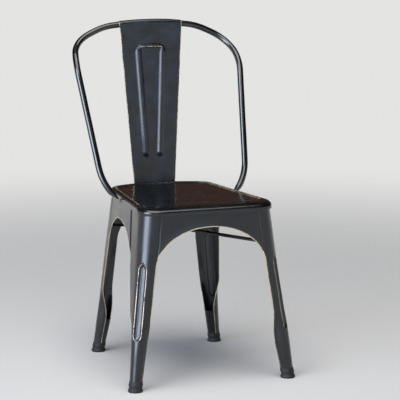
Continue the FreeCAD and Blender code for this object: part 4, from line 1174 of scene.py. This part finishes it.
class CHAIR_OT_hoop(bpy.types.Operator):
    """Bent tube back hoop with flattened ends, and its weld beads"""

    bl_idname = "chair.hoop"
    bl_label = "Back hoop"

    def execute(self, context):
        points, radii, end_run, outward = hoop_points()
        self.add_tube(rounded_path(points, radii, 5 * MM), end_run, outward)
        self.add_beads(end_run, outward)
        return {"FINISHED"}

    def add_tube(self, path, end_run, outward):
        """The right half from its flattened end to the peak, mirrored."""
        s = sizes()
        half = []
        for place in path:
            if place.x < 0 and place.z > s.seat_height + 0.2:
                break
            half.append(place)
        half[-1] = Vector((0, s.hoop_top_y, s.hoop_height))
        # Where the round tube starts to flatten towards its end.
        end = half[0]
        flat_from = min(range(len(half)), key=lambda k: abs((half[k] - end).length - 27 * MM))
        path = half[flat_from:]
        tangents = [(after - before).normalized() for before, after in zip([path[0]] + path, path[1:])]
        tangents.append(Vector((-1, 0, 0)))
        across = (end_run - tangents[0] * end_run.dot(tangents[0])).normalized()
        depth = tangents[0].cross(across).normalized()
        if depth.dot(outward) < 0:
            depth = -depth

        def flat_ring(centre, across, depth, half_across, half_depth, power, worn):
            """A rounded box that turns into a circle as its power falls to 2."""
            row = []
            for k in range(28):
                turn = 2 * math.pi * k / 28
                c, d = math.cos(turn), math.sin(turn)
                x = math.copysign(abs(c) ** (2 / power), c) * half_across
                y = math.copysign(abs(d) ** (2 / power), d) * half_depth
                row.append((centre + across * x + depth * y, worn))
            return row

        rows = []
        for k in range(12):
            share = k / 12
            ease = smooth(share)
            rows.append(flat_ring(
                end.lerp(path[0], share), end_run.lerp(across, ease).normalized(),
                outward.lerp(depth, ease).normalized(), FLAT_END[0] + (s.tube - FLAT_END[0]) * ease,
                FLAT_END[1] + (s.tube - FLAT_END[1]) * ease, 5.5 - 3.5 * ease, 0.75 * (1 - share) ** 3))
        axis = across
        for place, tangent in zip(path, tangents):
            axis = (axis - tangent * axis.dot(tangent)).normalized()
            turned = tangent.cross(axis)
            depth = turned if turned.dot(depth) > 0 else -turned
            rows.append(flat_ring(place, axis, depth, s.tube, s.tube, 2, 0.0))
        bm = bmesh.new()
        bm.faces.new(skin(bm, rows, closed=True)[0])
        bmesh.ops.mirror(bm, geom=bm.verts[:] + bm.edges[:] + bm.faces[:], axis="X", merge_dist=1e-4)
        bmesh.ops.remove_doubles(bm, verts=bm.verts, dist=1e-5)
        bmesh.ops.recalc_face_normals(bm, faces=bm.faces)
        dent(bm, 0.22 * MM, 40 * MM, 41)
        enamel = worn_enamel("Lacquered black enamel, tube", sheen=0.16, seed=3.7, cloud_and_sheen_levels=(0.5, 0.9),
                             peel_depth=0.0, lacquer=1.0)
        add_piece(bm, "back_hoop_tube", enamel, ["back_hoop"])

    def add_beads(self, end_run, outward):
        """A rippled bead under each flattened end."""
        weld = dressed_weld()
        for side, name in ((1, "right"), (-1, "left")):
            node = name + "_hoop_weld"
            low_box, high_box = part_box(node)
            middle = (low_box + high_box) / 2
            direction = Vector((end_run.x * side, end_run.y, 0))
            out = Vector((outward.x * side, outward.y, 0))
            rows = []
            for k in range(17):
                share = k / 16 * 2 - 1
                swell = math.sqrt(max(0.0, 1 - abs(share) ** 3)) * 0.9 + 0.1
                radius = 2.15 * MM * swell * (1 + 0.09 * math.sin(k * 2.6))
                centre = middle + direction * (share * 5.4 * MM)
                rows.append(circle(centre, out * radius, Vector((0, 0, radius)), 14))
            add_piece(solid_skin(rows), name + "_weld_bead", weld, [node], rim=None)


# Feet, brace and strips.
# Height and radius of a foot's outline in millimetres.
FOOT_RINGS = (
    (0.0, 12.0), (0.0, 16.2), (0.35, 17.1), (1.1, 17.8), (2.2, 18.0), (4.6, 18.0), (5.4, 17.75), (6.0, 17.1),
    (6.8, 16.5), (8.2, 16.15), (11.5, 16.15), (13.2, 16.35), (14.4, 16.9), (15.6, 17.35), (17.2, 17.35),
    (18.4, 16.95), (19.6, 16.5), (22.6, 16.6), (24.2, 16.55), (24.85, 16.2), (25.0, 15.75))


class CHAIR_OT_feet(bpy.types.Operator):
    """Stepped rubber feet"""

    bl_idname = "chair.feet"
    bl_label = "Feet"

    def execute(self, context):
        leg_end = sizes().leg_end
        rubber = moulded_rubber()
        # The last two rings are the socket around the leg, down to a hidden floor.
        outline = [(height * MM, radius * MM) for height, radius in FOOT_RINGS]
        outline += [(height * MM, corner_radius(height * MM) + FORMED_GAP) for height in (24.4, 12.0)]
        for rear, side, node in leg_places("foot"):
            rows = []
            for height, radius in outline:
                centre = leg_axis(max(height, leg_end), rear, side)
                centre.z = height
                rows.append(circle(centre, Vector((radius, 0, 0)), Vector((0, radius, 0)), 40))
            add_piece(solid_skin(rows), node + "_moulding", rubber, [node], rim=None)
        return {"FINISHED"}


class CHAIR_OT_brace(bpy.types.Operator):
    """Finishes for the cross brace, its rivet and the strips that close the legs"""

    bl_idname = "chair.brace"
    bl_label = "Cross brace"

    def execute(self, context):
        enamel = worn_enamel("Worn black enamel, brace", wear_reach=0.62, sheen=0.32, seed=5.2)
        kept = ["lower_brace_bar", "upper_brace_bar", "brace_rivet"]
        kept += [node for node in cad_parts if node.endswith("_leg_closing_strip")]
        for node in kept:
            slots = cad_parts[node].data.materials
            slots.clear()
            slots.append(enamel)
        return {"FINISHED"}


class CHAIR_OT_stage(bpy.types.Operator):
    """Pale studio floor, soft light and the camera"""

    bl_idname = "chair.stage"
    bl_label = "Studio"

    def execute(self, context):
        scene = context.scene
        scene.view_settings.view_transform = "Standard"
        self.lay_floor()
        self.light_sky(scene)
        for name, place, aim, width, height, power, colour in (
                ("Window", (-3.62, -2.04, 2.2), (0, 0, 2.2), 4.0, 3.9, 120, "dbe9ff"),
                ("Ceiling", (-0.5, -1.1, 3.8), (0, 0, 0.3), 3.4, 3.4, 135, "ffffff")):
            lamp = having(bpy.data.lights.new(name, "AREA"), shape="RECTANGLE", size=width, size_y=height,
                          energy=power, color=linear(colour)[:3])
            turned = (Vector(aim) - Vector(place)).to_track_quat("-Z", "Y").to_euler()
            add_object(name, lamp, location=place, rotation_euler=turned)
        self.hang_flags()
        # From the photograph's side: 20.29 degrees round to the left and 9.19 degrees down.
        lens = having(bpy.data.cameras.new("Camera"), sensor_width=36, lens=162)
        scene.camera = add_object("Camera", lens, location=(-1.497, -4.189, 1.137),
                                  rotation_euler=(math.radians(90 - 9.19), 0, math.radians(-20.29)))
        return {"FINISHED"}

    def hang_flags(self):
        """Cloths out of the picture that only the gloss reflects: two dark ones and the lit scrim."""
        for name, left, right, low, high, code, strength in (
                ("Back flag", (-7, 6), (6.5, 6.5), 0.6, 6, "4c392f", 1.0),
                ("Right flag", (6.5, 6.5), (6, -2.5), 0.6, 6, "4c392f", 1.0),
                ("Window scrim", (-4.33, -0.92), (-3.4, -2.85), 0.1, 4.15, "d6e6ff", 9.0)):
            cloth = new_material(name + " cloth", lambda tree: put(
                tree, "Emission", {"Color": linear(code), "Strength": strength}))
            bm = bmesh.new()
            corners = [(*left, low), (*right, low), (*right, high), (*left, high)]
            bm.faces.new([bm.verts.new(corner) for corner in corners])
            flag = having(add_mesh(bm, name, cloth), visible_camera=False, visible_diffuse=False,
                          visible_shadow=False)

    def lay_floor(self):
        """A wide disc, lit by the lamps near the chair and even behind it."""
        def surface(tree):
            far = put(tree, "VectorMath", {0: on_object(tree)}, operation="LENGTH"), "Value"
            path = put(tree, "LightPath")
            shine = maths(tree, "MAXIMUM", (path, "Is Glossy Ray"), (path, "Is Transmission Ray"))
            seen = maths(tree, "MAXIMUM", (path, "Is Camera Ray"), shine)
            return put(tree, "MixShader", {
                0: maths(tree, "MULTIPLY", seen, spread(tree, far, 0.9, 3.6, soft=True)),
                1: put(tree, "BsdfDiffuse", {"Color": finishes().floor}),
                2: put(tree, "Emission", {"Color": linear("e4e4e3"), "Strength": 1.0})})

        bm = bmesh.new()
        bmesh.ops.create_circle(bm, cap_ends=True, segments=64, radius=60)
        floor = add_mesh(bm, "Floor", new_material("Pale studio floor", surface))

    def light_sky(self, scene):
        """An even sky, dark overhead and pale at the horizon."""
        scene.world = bpy.data.worlds.new("Studio")
        scene.world.use_nodes = True
        tree = scene.world.node_tree
        tree.nodes.clear()
        parts = put(tree, "SeparateXYZ", {0: put(tree, "TexCoord")})
        lift = spread(tree, (parts, "Z"), 0.17, 0.36, soft=True)
        colour = mixed(tree, lift, linear("d2dbe6"), linear("33363c"))
        put(tree, "OutputWorld", {"Surface": put(tree, "Background", {"Color": colour, "Strength": 1.0})})


class CHAIR_PT_sidebar(bpy.types.Panel):
    """Sizes, finishes and steps of the chair"""

    bl_idname = "CHAIR_PT_sidebar"
    bl_label = "Metal bistro chair"
    bl_space_type = "VIEW_3D"
    bl_region_type = "UI"
    bl_category = "Chair"

    def draw(self, context):
        layout = self.layout
        for step in STEPS:
            layout.operator(step.bl_idname)
        for group in (context.scene.chair_sizes, context.scene.chair_finishes):
            box = layout.box()
            for name in group.__annotations__:
                box.prop(group, name)


STEPS = (
    CHAIR_OT_legs, CHAIR_OT_aprons, CHAIR_OT_seat, CHAIR_OT_splat, CHAIR_OT_hoop, CHAIR_OT_feet,
    CHAIR_OT_brace, CHAIR_OT_stage)
CLASSES = (ChairSizes, ChairFinishes) + STEPS + (CHAIR_PT_sidebar,)


def register():
    for cls in CLASSES:
        bpy.utils.register_class(cls)
    bpy.types.Scene.chair_sizes = bpy.props.PointerProperty(type=ChairSizes)
    bpy.types.Scene.chair_finishes = bpy.props.PointerProperty(type=ChairFinishes)


def unregister():
    del bpy.types.Scene.chair_finishes
    del bpy.types.Scene.chair_sizes
    for cls in reversed(CLASSES):
        bpy.utils.unregister_class(cls)


def main():
    register()
    bpy.ops.chair.legs()
    bpy.ops.chair.aprons()
    bpy.ops.chair.seat()
    bpy.ops.chair.splat()
    bpy.ops.chair.hoop()
    bpy.ops.chair.feet()
    bpy.ops.chair.brace()
    bpy.ops.chair.stage()


if __name__ == "__main__":
    main()
